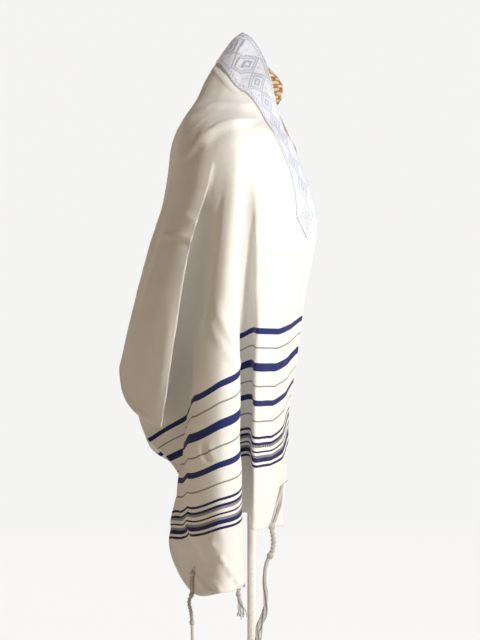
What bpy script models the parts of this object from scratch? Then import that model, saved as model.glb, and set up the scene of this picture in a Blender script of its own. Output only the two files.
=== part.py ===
"""A small wool tallit draped over a limbless dress form, in metres, +Z up.

The shawl is one woven rectangle. Its drape is worked out from two tables: the rings that
it follows over the head and shoulders, and the folds that hang from the lowest ring. Each
place on the flat cut then has one place on the drape, so the band along its top edge, the
holes at its corners and the fringes that hang from them come from the same points.

The form faces +X. +Y is its left side. The origin is the middle of the base's underside.
"""
import bmesh
import bpy
import numpy as np
from collections import namedtuple
from math import cos, pi, radians, sin
from mathutils import Vector

MM = 0.001
GAP = 0.3                  # between touching pieces, mm

# The cut of the cloth, mm. u runs along it from the crown of the head, towards the right
# hand hem; v runs across it, from the edge with the band to the edge that hangs behind.
CUT_RIGHT = 880
CUT_LEFT = 920
CUT_WIDTH = 610
CLOTH_WALL = 2.0
CLOTH_CELL = 22.5          # side of one facet

# The neckband sewn along the top edge, mm
BAND_WIDTH = 63
BAND_HALF = 415
BAND_POINT = 34            # length of the pointed ends
BAND_WALL = 1.2
BAND_GAP = 0.6             # between the band and the cloth under it
CUT_MIDDLE = (CUT_RIGHT - CUT_LEFT) / 2

# The fringes at the four corners, mm
FRINGE_RADIUS = 3.0        # where it lies on the cloth
FRINGE_GAP = 0.85          # between it and the cloth
FRINGE_STEP = 9            # length of one stretch of the tube

# The dress form, mm
BASE_RADIUS = 165
BASE_HEIGHT = 20
POLE_RADIUS = 8
TORSO_BOTTOM = 735

PEAK = (-15, 0, 1253)

# Rings round the right half, from the crown down: the front edge, the outermost place at
# the side and the middle of the back, and where each of them lies on the cut.
Ring = namedtuple("Ring", "name front side back front_u side_uv back_v")
RINGS = [
    Ring("tip", (0, -13, 1242), (-15, -15, 1242), (-29, 0, 1243), 21, (16, 9), 16),
    Ring("crown", (20, -33, 1206), (-16, -37, 1206), (-46, 0, 1221), 66, (46, 28), 39),
    Ring("hood", (31, -60, 1164), (-20, -67, 1156), (-75, 0, 1176), 115, (89, 52), 92),
    Ring("neck", (47, -78, 1093), (-15, -95, 1119), (-95, 0, 1139), 191, (130, 86), 135),
    Ring("shoulder", (73, -88, 1034), (-28, -200, 1063), (-136, 0, 1054), 258, (222, 153), 228),
    Ring("arm", (94, -95, 975), (-28, -215, 1030), (-143, 0, 1003), 326, (243, 168), 281),
]
RING_SLANT = 0.6           # how straight a ring runs from its front edge to its side

# Folds of the right half, from the front edge round to the middle of the back. turn is the
# angle at which a fold leaves the lowest ring. Two thirds and the foot of its fall follow:
# high and low are (x, y), foot is (x, y, z), mm. cut is the foot's place on the flat cut,
# and share_high and share_low are how much of the fold's cut lies above those two places.
Fold = namedtuple("Fold", "name turn high low foot cut share_high share_low")
FOLDS = [
    Fold("edge", 0, (84, -90), (60, -82), (52, -75, 425), (880, 0), 0.363, 0.760),
    Fold("lapel", 22, (64, -128), (51, -112), (43, -100, 428), (880, 34), 0.345, 0.700),
    Fold("turn", 46, (43, -165), (32, -150), (25, -140, 432), (880, 76), 0.342, 0.672),
    Fold("front_fold", 63, (9, -196), (4, -190), (1, -176, 432), (880, 112), 0.350, 0.678),
    Fold("step", 68, (2, -184), (-3, -152), (-5, -128, 452), (880, 156), 0.334, 0.670),
    Fold("recess", 75, (-8, -178), (-25, -138), (-27, -98, 446), (880, 205), 0.322, 0.668),
    Fold("under_side", 80, (-28, -196), (-42, -150), (-50, -130, 430), (880, 300), 0.320, 0.655),
    Fold("side_fold", 84, (-22, -230), (-21, -233), (-14, -222, 356), (880, 428), 0.309, 0.642),
    Fold("side_panel", 89, (-45, -241), (-54, -256), (-50, -260, 347), (880, 518), 0.291, 0.624),
    Fold("corner", 94, (-65, -225), (-101, -212), (-97, -190, 337), (880, 610), 0.267, 0.600),
    Fold("side_back", 97, (-69, -205), (-101, -185), (-133, -165, 408), (787, 610), 0.253, 0.587),
    Fold("under_low", 99.5, (-75, -192), (-100, -152), (-111, -130, 495), (680, 610), 0.222, 0.556),
    Fold("under_mid", 101.5, (-81, -183), (-113, -141), (-140, -118, 543), (607, 610), 0.200, 0.533),
    Fold("under_high", 103, (-88, -175), (-133, -136), (-172, -112, 573), (546, 610), 0.200, 0.533),
    Fold("inner_low", 104, (-101, -160), (-143, -132), (-190, -95, 632), (470, 610), 0.244, 0.578),
    Fold("inner_top", 105, (-106, -164), (-140, -138), (-183, -100, 712), (400, 610), 0.289, 0.622),
    Fold("inner_back", 106, (-111, -184), (-136, -168), (-166, -143, 655), (315, 610), 0.311, 0.644),
    Fold("back_fold", 107, (-99, -212), (-124, -205), (-145, -188, 596), (226, 610), 0.333, 0.667),
    Fold("back_panel", 121, (-128, -180), (-164, -162), (-188, -130, 615), (153, 610), 0.333, 0.667),
    Fold("back", 150, (-160, -90), (-195, -80), (-216, -62, 644), (73, 610), 0.333, 0.667),
    Fold("middle", 180, (-173, 0), (-201, 0), (-224, 0, 683), (0, 610), 0.333, 0.667),
]

# How far the left half's folds differ from a mirror image of the right half's, mm: neck_x
# and shoulder_x move a fold at those two rings, and foot moves it at its foot.
Shift = namedtuple("Shift", "neck_x shoulder_x foot")
LEFT_SHIFTS = {
    "edge": Shift(18, 12, (-25, 0, -12)),
    "lapel": Shift(12, 9, (-25, 5, -12)),
    "turn": Shift(6, 6, (-20, 5, -14)),
    "front_fold": Shift(0, 0, (-8, 0, -16)),
    "step": Shift(0, 0, (-8, 0, -16)),
    "recess": Shift(0, 0, (0, 5, -20)),
    "under_side": Shift(0, 0, (20, 0, -20)),
    "side_fold": Shift(0, 0, (-16, 6, -21)),
    "side_panel": Shift(0, 0, (-47, -15, -38)),
    "corner": Shift(0, 0, (84, -20, -56)),
    "side_back": Shift(0, 0, (83, -10, -58)),
    "under_low": Shift(0, 0, (18, 0, -44)),
    "under_mid": Shift(0, 0, (6, 2, -38)),
    "under_high": Shift(0, 0, (-6, 0, -36)),
    "inner_low": Shift(0, 0, (0, 0, -30)),
    "inner_top": Shift(0, 0, (5, 8, -25)),
    "inner_back": Shift(0, 0, (0, 5, -20)),
    "back_fold": Shift(0, 0, (6, 6, -14)),
    "back_panel": Shift(0, 0, (0, 4, -6)),
    "back": Shift(0, 0, (0, 0, -2)),
}

# The fringes: the hole that each comes out of and the place where it leaves the cloth, both
# (u, v) on the cut, its way down from there as (x, y, drop), and its radius at the end, mm.
Fringe = namedtuple("Fringe", "name hole rim hang end_radius")
FRINGES = [
    Fringe("fringe_right_front", (818, 40), (880, 72), [
        (2, -3, 10), (1, -4, 38), (-6, -4, 52), (-11, -3, 90), (-9, -3, 106),
        (-12, -3, 140), (-19, -3, 158), (-21, -3, 185), (-20, -3, 215)], 4.5),
    Fringe("fringe_right_back", (838, 568), (880, 603), [
        (-4, -3, 12), (-1, -4, 28), (1, -4, 75), (0, -4, 130), (2, -4, 190)], 5.0),
    Fringe("fringe_left_front", (-860, 42), (-920, 84), [
        (-3, 1, 14), (-5, 2, 50), (-6, 3, 102)], 4.5),
    Fringe("fringe_left_back", (-878, 568), (-920, 598), [
        (-2, -6.6, 8), (2, -9.8, 28), (5, -9.8, 56)], 7.0),
]

# Sections of the torso and of the head with its neck, mm: height, middle, half depth along
# X and half width along Y. Lowest first.
Section = namedtuple("Section", "z x depth width")
TORSO = [
    Section(TORSO_BOTTOM, -22, 60, 84),
    Section(740, -22, 74, 104),
    Section(760, -22, 84, 118),
    Section(820, -24, 93, 132),
    Section(880, -26, 101, 148),
    Section(940, -26, 104, 163),
    Section(985, -27, 98, 176),
    Section(1020, -27, 88, 184),
    Section(1040, -27, 78, 181),
    Section(1056, -25, 68, 160),
    Section(1070, -20, 60, 122),
    Section(1082, -12, 54, 82),
    Section(1092, -6, 49, 56),
    Section(1100, -4, 47, 48),
]
HEAD = [
    Section(1100 + GAP, -4, 46, 46),
    Section(1112, -2, 45, 46),
    Section(1128, -4, 47, 51),
    Section(1137, -1, 51, 53),
    Section(1148, -1, 53, 54),
    Section(1160, -1, 55, 53),
    Section(1171, -3, 53, 50),
    Section(1181, -7, 49, 46),
    Section(1193, -9, 39, 38),
    Section(1206, -11, 31, 30),
    Section(1219, -13, 23.5, 21.5),
    Section(1230, -14, 16.5, 14.5),
    Section(1238.8, -15, 7.5, 6.5),
]
FORM_SIDES = 48
SQUARENESS = 2.2           # of the torso's sections; 2 is an ellipse


def ring_place(ring, turn):
    """Where a fold at this angle crosses a ring: x, y, z, u, v."""
    across, along = sin(radians(turn)), abs(cos(radians(turn)))
    side_u, side_v = ring.side_uv
    if turn <= 90:
        along = along * (1 - RING_SLANT) + (1 - across) * RING_SLANT
        end_x, end_y, end_z = ring.front
        end_u, end_v = ring.front_u, 0
    else:
        end_x, end_y, end_z = ring.back
        end_u, end_v = 0, ring.back_v
    side_x, side_y, side_z = ring.side
    x = side_x + (end_x - side_x) * along
    y = end_y + (side_y - end_y) * across
    z = side_z + (end_z - side_z) * along
    if turn <= 90:
        return x, y, z, side_u + (end_u - side_u) * along, side_v * across
    return x, y, z, side_u * across, side_v + (end_v - side_v) * along


def fold_line(fold):
    """The places that one fold runs through, from the peak down to its foot."""
    places = [(*PEAK, 0, 0)] + [ring_place(ring, fold.turn) for ring in RINGS]
    top = np.array(places[-1])
    foot = np.array([*fold.foot, *fold.cut], float)
    for step, (x, y), share in ((1, fold.high, fold.share_high), (2, fold.low, fold.share_low)):
        z = top[2] + (foot[2] - top[2]) * step / 3
        u, v = top[3:] + (foot[3:] - top[3:]) * share
        places.append((x, y, z, u, v))
    return places + [tuple(foot)]


def fold_net():
    """All the folds, right edge to left edge: an array of folds by places by x, y, z, u, v."""
    right = np.array([fold_line(fold) for fold in FOLDS])
    left = right[-2::-1].copy()
    left[:, :, 1] *= -1
    left[:, :, 3] *= -CUT_LEFT / CUT_RIGHT
    shoulder = 1 + [ring.name for ring in RINGS].index("shoulder")
    fall = np.clip((np.arange(left.shape[1]) - len(RINGS)) / 3, 0, 1)
    for line, fold in zip(left, FOLDS[-2::-1]):
        shift = LEFT_SHIFTS[fold.name]
        line[shoulder - 1, 0] += shift.neck_x
        line[shoulder, 0] += shift.shoulder_x
        line[:, :3] += np.outer(fall, shift.foot)
    return np.concatenate([right, left])


def tangents(knots, values):
    """Slopes of a smooth curve through values at uneven knots, along the first axis."""
    steps = np.diff(knots).reshape((-1,) + (1,) * (values.ndim - 1))
    rise = np.diff(values, axis=0) / steps
    slopes = np.empty_like(values)
    slopes[0], slopes[-1] = rise[0], rise[-1]
    slopes[1:-1] = (rise[:-1] * steps[1:] + rise[1:] * steps[:-1]) / (steps[1:] + steps[:-1])
    return slopes


def smooth_between(knots, values, index, part):
    """Values a part of the way from each indexed knot to the next, on the smooth curve."""
    slopes = tangents(knots, values)
    shape = (-1,) + (1,) * (values.ndim - 1)
    step = (knots[index + 1] - knots[index]).reshape(shape)
    t = part.reshape(shape)
    start = (2 * t ** 3 - 3 * t ** 2 + 1) * values[index]
    start += (t ** 3 - 2 * t ** 2 + t) * step * slopes[index]
    end = (3 * t ** 2 - 2 * t ** 3) * values[index + 1]
    return start + end + (t ** 3 - t ** 2) * step * slopes[index + 1]


def inside_cell(corners, spots):
    """Solve for how far across and down a four-cornered cell of the cut each spot lies."""
    origin, side, fall = corners[0], corners[1] - corners[0], corners[2] - corners[0]
    twist = corners[3] - corners[2] - side
    across, down = np.full(len(spots), 0.5), np.full(len(spots), 0.5)
    for _ in range(12):
        miss = origin + np.outer(across, side) + np.outer(down, fall)
        miss += np.outer(across * down, twist) - spots
        da, dd = side + np.outer(down, twist), fall + np.outer(across, twist)
        area = da[:, 0] * dd[:, 1] - da[:, 1] * dd[:, 0]
        area = np.where(abs(area) < 1e-9, 1e-9, area)
        across = across - (miss[:, 0] * dd[:, 1] - miss[:, 1] * dd[:, 0]) / area
        down = down - (da[:, 0] * miss[:, 1] - da[:, 1] * miss[:, 0]) / area
        across, down = np.clip(across, -0.5, 1.5), np.clip(down, -0.5, 1.5)
    miss = origin + np.outer(across, side) + np.outer(down, fall)
    miss += np.outer(across * down, twist) - spots
    found = (abs(across - 0.5) < 0.502) & (abs(down - 0.5) < 0.502)
    return found & (np.abs(miss).max(axis=1) < 0.05), across, down


def drape(net, spots):
    """Places on the drape, mm, of spots (u, v) on the flat cut."""
    folds, levels = net.shape[:2]
    fold = np.full(len(spots), -1)
    level = np.zeros(len(spots), int)
    across, down = np.zeros(len(spots)), np.zeros(len(spots))
    for i in range(folds - 1):
        for j in range(levels - 1):
            corners = net[[i, i + 1, i, i + 1], [j, j, j + 1, j + 1], 3:]
            low, high = corners.min(0) - 0.001, corners.max(0) + 0.001
            near = np.where((fold < 0) & (spots >= low).all(1) & (spots <= high).all(1))[0]
            if len(near):
                found, a, d = inside_cell(corners, spots[near])
                near, a, d = near[found], a[found], d[found]
                fold[near], level[near] = i, j
                across[near], down[near] = np.clip(a, 0, 1), np.clip(d, 0, 1)
    if (fold < 0).any():
        raise ValueError("a spot lies off the cut")
    lengths = np.linalg.norm(np.diff(net[:, :, 3:], axis=1), axis=2).mean(0)
    level_knots = np.r_[0, np.cumsum(lengths)]
    feet = np.linalg.norm(np.diff(net[:, -1, 3:], axis=0), axis=1)
    fold_knots = np.r_[0, np.cumsum(feet)]
    lines = smooth_between(level_knots, net[:, :, :3].transpose(1, 0, 2), level, down)
    lines = lines.transpose(1, 0, 2)
    spot = np.arange(len(spots))
    slopes = tangents(fold_knots, lines)
    step = (fold_knots[fold + 1] - fold_knots[fold])[:, None]
    t = across[:, None]
    place = (2 * t ** 3 - 3 * t ** 2 + 1) * lines[fold, spot]
    place += (t ** 3 - 2 * t ** 2 + t) * step * slopes[fold, spot]
    place += (3 * t ** 2 - 2 * t ** 3) * lines[fold + 1, spot]
    return place + (t ** 3 - t ** 2) * step * slopes[fold + 1, spot]


def even_steps(stops, cell):
    """Values from the first stop to the last, evenly stepped between each two stops."""
    runs = [stops[:1]]
    for start, end in zip(stops, stops[1:]):
        runs.append(np.linspace(start, end, max(1, round(abs(end - start) / cell)) + 1)[1:])
    return np.concatenate(runs)


def sheet_mesh(name, outer, inner):
    """A closed wall between two grids of places, given in mm."""
    rows, columns = outer.shape[:2]
    verts = np.concatenate([outer.reshape(-1, 3), inner.reshape(-1, 3)]) * MM
    back = rows * columns
    quads = []
    for i in range(rows - 1):
        for j in range(columns - 1):
            a, b = i * columns + j, (i + 1) * columns + j
            quads += [(a, a + 1, b + 1), (a, b + 1, b)]
            quads += [(back + a, back + b + 1, back + a + 1), (back + a, back + b, back + b + 1)]
    rim = [i * columns for i in range(rows)]
    rim += [(rows - 1) * columns + j for j in range(1, columns)]
    rim += [i * columns + columns - 1 for i in range(rows - 2, -1, -1)]
    rim += list(range(columns - 2, 0, -1))
    for a, b in zip(rim, rim[1:] + rim[:1]):
        quads.append((a, b, back + b, back + a))
    mesh = bpy.data.meshes.new(name)
    mesh.from_pydata(verts.tolist(), [], quads)
    return outward(mesh)


def outward(mesh):
    """Turn every face of a closed mesh to point out."""
    work = bmesh.new()
    work.from_mesh(mesh)
    bmesh.ops.triangulate(work, faces=work.faces)
    bmesh.ops.recalc_face_normals(work, faces=work.faces)
    work.to_mesh(mesh)
    work.free()
    return mesh


def add(name, mesh, material, smooth_angle=50):
    mesh.shade_smooth()
    mesh.set_sharp_from_angle(angle=radians(smooth_angle))
    mesh.materials.append(material)
    piece = bpy.data.objects.new(name, mesh)
    bpy.context.scene.collection.objects.link(piece)
    return piece


def finish(name, colour, roughness, metallic=0.0):
    material = bpy.data.materials.new(name)
    material.use_nodes = True
    shader = material.node_tree.nodes["Principled BSDF"]
    shader.inputs["Base Color"].default_value = (*colour, 1)
    shader.inputs["Roughness"].default_value = roughness
    shader.inputs["Metallic"].default_value = metallic
    return material


def grid_normals(places):
    """Outward unit vectors of a grid of places, from the facets round each of them."""
    along, across = np.gradient(places, axis=0), np.gradient(places, axis=1)
    normal = np.cross(across, along)
    return normal / np.linalg.norm(normal, axis=2, keepdims=True)


def on_facets(along, across, grid, spots):
    """Places of spots (u, v) on a grid's own facets, which are halved from corner to corner."""
    i = np.clip(np.searchsorted(along, spots[:, 0], side="right") - 1, 0, len(along) - 2)
    j = np.clip(np.searchsorted(across, spots[:, 1], side="right") - 1, 0, len(across) - 2)
    a = ((spots[:, 0] - along[i]) / (along[i + 1] - along[i]))[:, None]
    b = ((spots[:, 1] - across[j]) / (across[j + 1] - across[j]))[:, None]
    start, end = grid[i, j], grid[i + 1, j + 1]
    upper = start + b * (grid[i, j + 1] - start) + a * (end - grid[i, j + 1])
    lower = start + a * (grid[i + 1, j] - start) + b * (end - grid[i + 1, j])
    return np.where(b > a, upper, lower)


def make_cloth(net, material):
    """The woven rectangle. Returns its grid, which what lies on it is laid by."""
    start, end = CUT_MIDDLE - BAND_HALF, CUT_MIDDLE + BAND_HALF
    stops = (-CUT_LEFT, start, start + BAND_POINT, end - BAND_POINT, end, CUT_RIGHT)
    along = even_steps(stops, CLOTH_CELL)
    across = even_steps((0, BAND_WIDTH, CUT_WIDTH), CLOTH_CELL)
    spots = np.array([(u, v) for u in along for v in across])
    middle = drape(net, spots).reshape(len(along), len(across), 3)
    normals = grid_normals(middle)
    out = normals * CLOTH_WALL / 2
    add("shawl_cloth", sheet_mesh("shawl_cloth", middle + out, middle - out), material)
    return along, across, middle, normals


def make_band(cloth, material):
    """The neckband, laid on the outside of the cloth's facets and pointed at both ends."""
    along, across, middle, normals = cloth
    start, end = CUT_MIDDLE - BAND_HALF, CUT_MIDDLE + BAND_HALF
    columns = along[(along > start - 1) & (along < end + 1)]
    rows = across[across < BAND_WIDTH + 1]
    spots = []
    for u in columns:
        spread = min(1, max(min(u - start, end - u) / BAND_POINT, 0.05))
        spots += [(u, BAND_WIDTH / 2 + (v - BAND_WIDTH / 2) * spread) for v in rows]
    spots = np.array(spots)
    shape = (len(columns), len(rows), 3)
    low = on_facets(along, across, middle + normals * (CLOTH_WALL / 2 + BAND_GAP), spots)
    lift = BAND_GAP + BAND_WALL
    high = on_facets(along, across, middle + normals * (CLOTH_WALL / 2 + lift), spots)
    mesh = sheet_mesh("neckband", high.reshape(shape), low.reshape(shape))
    add("neckband", mesh, material)


def make_fringe(fringe, cloth, material):
    """A plain tube for one fringe: over the cloth's face from its hole, then hanging free."""
    along, across, middle, normals = cloth
    lift = CLOTH_WALL / 2 + FRINGE_GAP + FRINGE_RADIUS
    hole, rim = np.array(fringe.hole), np.array(fringe.rim)
    steps = max(2, round(np.linalg.norm(rim - hole) / FRINGE_STEP))
    spots = hole + np.linspace(0, 1, steps + 1)[:, None] * (rim - hole)
    laid = on_facets(along, across, middle + normals * lift, spots)
    hang = np.array([(0, 0, 0)] + fringe.hang) * (1, 1, -1) + laid[-1]
    reach = np.r_[0, np.cumsum(np.linalg.norm(np.diff(hang, axis=0), axis=1))]
    ways = np.linspace(0, reach[-1], round(reach[-1] / FRINGE_STEP) + 1)[1:]
    index = np.clip(np.searchsorted(reach, ways) - 1, 0, len(reach) - 2)
    part = (ways - reach[index]) / (reach[index + 1] - reach[index])
    free = smooth_between(reach, hang, index, part)
    radii = np.r_[np.full(len(laid), FRINGE_RADIUS),
                  np.linspace(FRINGE_RADIUS, fringe.end_radius, len(free))]
    mesh = tube_mesh(fringe.name, np.concatenate([laid, free]), radii)
    add(fringe.name, mesh, material)


def tube_mesh(name, route, radii, sides=8):
    """A closed round tube along places in mm, with its own radius at each of them."""
    route = np.asarray(route, float)
    ahead = np.gradient(route, axis=0)
    verts = []
    for place, way, radius in zip(route, ahead, radii):
        way = Vector(way).normalized()
        first = way.cross(Vector((0.3, 1, 0.1))).normalized()
        second = way.cross(first)
        for k in range(sides):
            angle = 2 * pi * k / sides
            spoke = first * cos(angle) + second * sin(angle)
            verts.append((Vector(place) + spoke * radius) * MM)
    quads = []
    for i in range(len(route) - 1):
        for k in range(sides):
            a, b = i * sides + k, i * sides + (k + 1) % sides
            quads.append((a, b, b + sides, a + sides))
    last = (len(route) - 1) * sides
    quads += [tuple(range(sides)), tuple(last + k for k in reversed(range(sides)))]
    mesh = bpy.data.meshes.new(name)
    mesh.from_pydata(verts, [], quads)
    return outward(mesh)


def lofted_mesh(name, sections, power):
    """A closed body through level sections, flat at both ends."""
    verts = []
    for section in sections:
        for k in range(FORM_SIDES):
            angle = 2 * pi * k / FORM_SIDES
            c, s = cos(angle), sin(angle)
            x = section.x + section.depth * abs(c) ** (2 / power) * (1 if c >= 0 else -1)
            y = section.width * abs(s) ** (2 / power) * (1 if s >= 0 else -1)
            verts.append((x * MM, y * MM, section.z * MM))
    faces = []
    for i in range(len(sections) - 1):
        for k in range(FORM_SIDES):
            a, b = i * FORM_SIDES + k, i * FORM_SIDES + (k + 1) % FORM_SIDES
            faces.append((a, b, b + FORM_SIDES, a + FORM_SIDES))
    last = (len(sections) - 1) * FORM_SIDES
    faces.append(tuple(reversed(range(FORM_SIDES))))
    faces.append(tuple(last + k for k in range(FORM_SIDES)))
    mesh = bpy.data.meshes.new(name)
    mesh.from_pydata(verts, [], faces)
    return mesh


def make_form(cane, painted):
    add("form_torso", lofted_mesh("form_torso", TORSO, SQUARENESS), cane)
    add("form_head", lofted_mesh("form_head", HEAD, 2), cane)
    pole = [
        Section(BASE_HEIGHT + GAP, 0, POLE_RADIUS, POLE_RADIUS),
        Section(TORSO_BOTTOM - GAP, 0, POLE_RADIUS, POLE_RADIUS),
    ]
    add("form_pole", lofted_mesh("form_pole", pole, 2), painted, 30)
    edge = 6
    base = [
        Section(0, 0, BASE_RADIUS - 2, BASE_RADIUS - 2),
        Section(2, 0, BASE_RADIUS, BASE_RADIUS),
        Section(BASE_HEIGHT / 2, 0, BASE_RADIUS, BASE_RADIUS),
        Section(BASE_HEIGHT / 2 + 2, 0, BASE_RADIUS - 1.5, BASE_RADIUS - 1.5),
        Section(BASE_HEIGHT - 4, 0, BASE_RADIUS - edge * 2, BASE_RADIUS - edge * 2),
        Section(BASE_HEIGHT, 0, POLE_RADIUS * 4, POLE_RADIUS * 4),
    ]
    add("form_base", lofted_mesh("form_base", base, 2), painted, 30)


def main():
    for old in list(bpy.data.objects):
        bpy.data.objects.remove(old, do_unlink=True)
    wool = finish("wool", (0.88, 0.85, 0.78), 0.9)
    brocade = finish("brocade", (0.80, 0.83, 0.88), 0.5)
    yarn = finish("fringe_yarn", (0.84, 0.82, 0.78), 0.9)
    cane = finish("cane", (0.72, 0.50, 0.26), 0.6)
    painted = finish("painted_metal", (0.85, 0.85, 0.84), 0.4)
    net = fold_net()
    cloth = make_cloth(net, wool)
    make_band(cloth, brocade)
    for fringe in FRINGES:
        make_fringe(fringe, cloth, yarn)
    make_form(cane, painted)


main()
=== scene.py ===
"""A small wool tallit on a woven cane dress form: the finish of every surface.

The file is laid out as an add-on. main() at its end runs its operators in order, one for
each piece or group of like pieces. Lengths in the tables are millimetres, as a weaver's
notes would have them, and the meshes are in metres.
"""
from collections import namedtuple
from math import cos, pi, radians, sin

import bpy
import numpy as np
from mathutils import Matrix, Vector


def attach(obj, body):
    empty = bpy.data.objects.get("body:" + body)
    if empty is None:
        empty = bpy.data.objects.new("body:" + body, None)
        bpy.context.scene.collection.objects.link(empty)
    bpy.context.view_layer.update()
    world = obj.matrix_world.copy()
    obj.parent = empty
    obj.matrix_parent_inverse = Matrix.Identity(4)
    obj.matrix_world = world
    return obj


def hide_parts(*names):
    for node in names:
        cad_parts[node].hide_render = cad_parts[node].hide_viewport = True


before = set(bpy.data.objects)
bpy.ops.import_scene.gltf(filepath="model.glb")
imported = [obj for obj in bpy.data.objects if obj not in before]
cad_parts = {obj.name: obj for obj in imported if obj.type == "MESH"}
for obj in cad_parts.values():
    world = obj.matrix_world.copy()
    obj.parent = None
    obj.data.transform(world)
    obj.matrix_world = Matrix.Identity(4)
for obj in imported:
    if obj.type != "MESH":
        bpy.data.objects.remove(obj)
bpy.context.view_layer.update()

bl_info = {
    "name": "Draped Tallit",
    "version": (1, 0, 0),
    "blender": (4, 5, 0),
    "location": "3D View > Sidebar > Tallit",
    "description": "Drapes a striped wool prayer shawl over a woven cane dress form",
    "category": "Object",
}

MM = 0.001
SEED = 18

# --- The cut of the cloth and its drape ---

# u runs along the cloth from the crown of the head towards the right hand hem, and v runs
# across it, from the edge with the band to the edge that hangs behind.
CUT_RIGHT = 880
CUT_LEFT = 920
CUT_WIDTH = 610
CUT_MIDDLE = (CUT_RIGHT - CUT_LEFT) / 2
BAND_WIDTH = 63
BAND_HALF = 415
BAND_POINT = 34
PEAK = (-15, 0, 1253)
HEM = 8                    # width of the turned hem
CLOTH_WALL = 1.0
HEM_WALL = 2.0

# Rings round the right half, from the crown down: the front edge, the outermost place at
# the side and the middle of the back, and where each of them lies on the cut.
Ring = namedtuple("Ring", "name front side back front_u side_uv back_v")
RINGS = [
    Ring("tip", (0, -13, 1242), (-15, -15, 1242), (-29, 0, 1243), 21, (16, 9), 16),
    Ring("crown", (20, -33, 1206), (-16, -37, 1206), (-46, 0, 1221), 66, (46, 28), 39),
    Ring("hood", (31, -60, 1164), (-20, -67, 1156), (-75, 0, 1176), 115, (89, 52), 92),
    Ring("neck", (47, -78, 1093), (-15, -95, 1119), (-95, 0, 1139), 191, (130, 86), 135),
    Ring("shoulder", (73, -88, 1034), (-28, -200, 1063), (-136, 0, 1054), 258, (222, 153), 228),
    Ring("arm", (94, -95, 975), (-28, -215, 1030), (-143, 0, 1003), 326, (243, 168), 281),
]
RING_SLANT = 0.6           # how straight a ring runs from its front edge to its side

# Folds of the right half, from the front edge round to the middle of the back. turn is the
# angle at which a fold leaves the lowest ring. Two thirds and the foot of its fall follow:
# high and low are (x, y), foot is (x, y, z), mm. cut is the foot's place on the flat cut,
# and share_high and share_low are how much of the fold's cut lies above those two places.
Fold = namedtuple("Fold", "name turn high low foot cut share_high share_low")
FOLDS = [
    Fold("edge", 0, (84, -90), (60, -82), (52, -75, 425), (880, 0), 0.363, 0.76),
    Fold("lapel", 22, (64, -128), (51, -112), (43, -100, 428), (880, 34), 0.345, 0.7),
    Fold("turn", 46, (43, -165), (32, -150), (25, -140, 432), (880, 76), 0.342, 0.672),
    Fold("front_fold", 63, (9, -196), (4, -190), (1, -176, 432), (880, 112), 0.35, 0.678),
    Fold("step", 68, (2, -184), (-3, -152), (-5, -128, 452), (880, 156), 0.334, 0.67),
    Fold("recess", 75, (-8, -178), (-25, -138), (-27, -98, 446), (880, 205), 0.322, 0.668),
    Fold("under_side", 80, (-28, -196), (-42, -150), (-50, -130, 430), (880, 300), 0.32, 0.655),
    Fold("side_fold", 84, (-22, -230), (-21, -233), (-14, -222, 356), (880, 428), 0.309, 0.642),
    Fold("side_panel", 89, (-45, -241), (-54, -256), (-50, -260, 347), (880, 518), 0.291, 0.624),
    Fold("corner", 94, (-65, -225), (-101, -212), (-97, -190, 337), (880, 610), 0.267, 0.6),
    Fold("side_back", 97, (-69, -205), (-101, -185), (-133, -165, 408), (787, 610), 0.253, 0.587),
    Fold("under_low", 99.5, (-75, -192), (-100, -152), (-111, -130, 495), (680, 610), 0.222, 0.556),
    Fold("under_mid", 101.5, (-81, -183), (-113, -141), (-140, -118, 543), (607, 610), 0.2, 0.533),
    Fold("under_high", 103, (-88, -175), (-133, -136), (-172, -112, 573), (546, 610), 0.2, 0.533),
    Fold("inner_low", 104, (-101, -160), (-143, -132), (-190, -95, 632), (470, 610), 0.244, 0.578),
    Fold("inner_top", 105, (-106, -164), (-140, -138), (-183, -100, 712), (400, 610), 0.289, 0.622),
    Fold("inner_back", 106, (-111, -184), (-136, -168), (-166, -143, 655), (315, 610), 0.311, 0.644),
    Fold("back_fold", 107, (-99, -212), (-124, -205), (-145, -188, 596), (226, 610), 0.333, 0.667),
    Fold("back_panel", 121, (-128, -180), (-164, -162), (-188, -130, 615), (153, 610), 0.333, 0.667),
    Fold("back", 150, (-160, -90), (-195, -80), (-216, -62, 644), (73, 610), 0.333, 0.667),
    Fold("middle", 180, (-173, 0), (-201, 0), (-224, 0, 683), (0, 610), 0.333, 0.667),
]

# How far the left half's folds differ from a mirror image of the right half's, mm: neck_x
# and shoulder_x move a fold at those two rings, and foot moves it at its foot.
Shift = namedtuple("Shift", "neck_x shoulder_x foot")
LEFT_SHIFTS = {
    "edge": Shift(18, 12, (-25, 0, -12)),
    "lapel": Shift(12, 9, (-25, 5, -12)),
    "turn": Shift(6, 6, (-20, 5, -14)),
    "front_fold": Shift(0, 0, (-8, 0, -16)),
    "step": Shift(0, 0, (-8, 0, -16)),
    "recess": Shift(0, 0, (0, 5, -20)),
    "under_side": Shift(0, 0, (20, 0, -20)),
    "side_fold": Shift(0, 0, (-16, 6, -21)),
    "side_panel": Shift(0, 0, (-47, -15, -38)),
    "corner": Shift(0, 0, (84, -20, -56)),
    "side_back": Shift(0, 0, (83, -10, -58)),
    "under_low": Shift(0, 0, (18, 0, -44)),
    "under_mid": Shift(0, 0, (6, 2, -38)),
    "under_high": Shift(0, 0, (-6, 0, -36)),
    "inner_low": Shift(0, 0, (0, 0, -30)),
    "inner_top": Shift(0, 0, (5, 8, -25)),
    "inner_back": Shift(0, 0, (0, 5, -20)),
    "back_fold": Shift(0, 0, (6, 6, -14)),
    "back_panel": Shift(0, 0, (0, 4, -6)),
    "back": Shift(0, 0, (0, 0, -2)),
}


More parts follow.
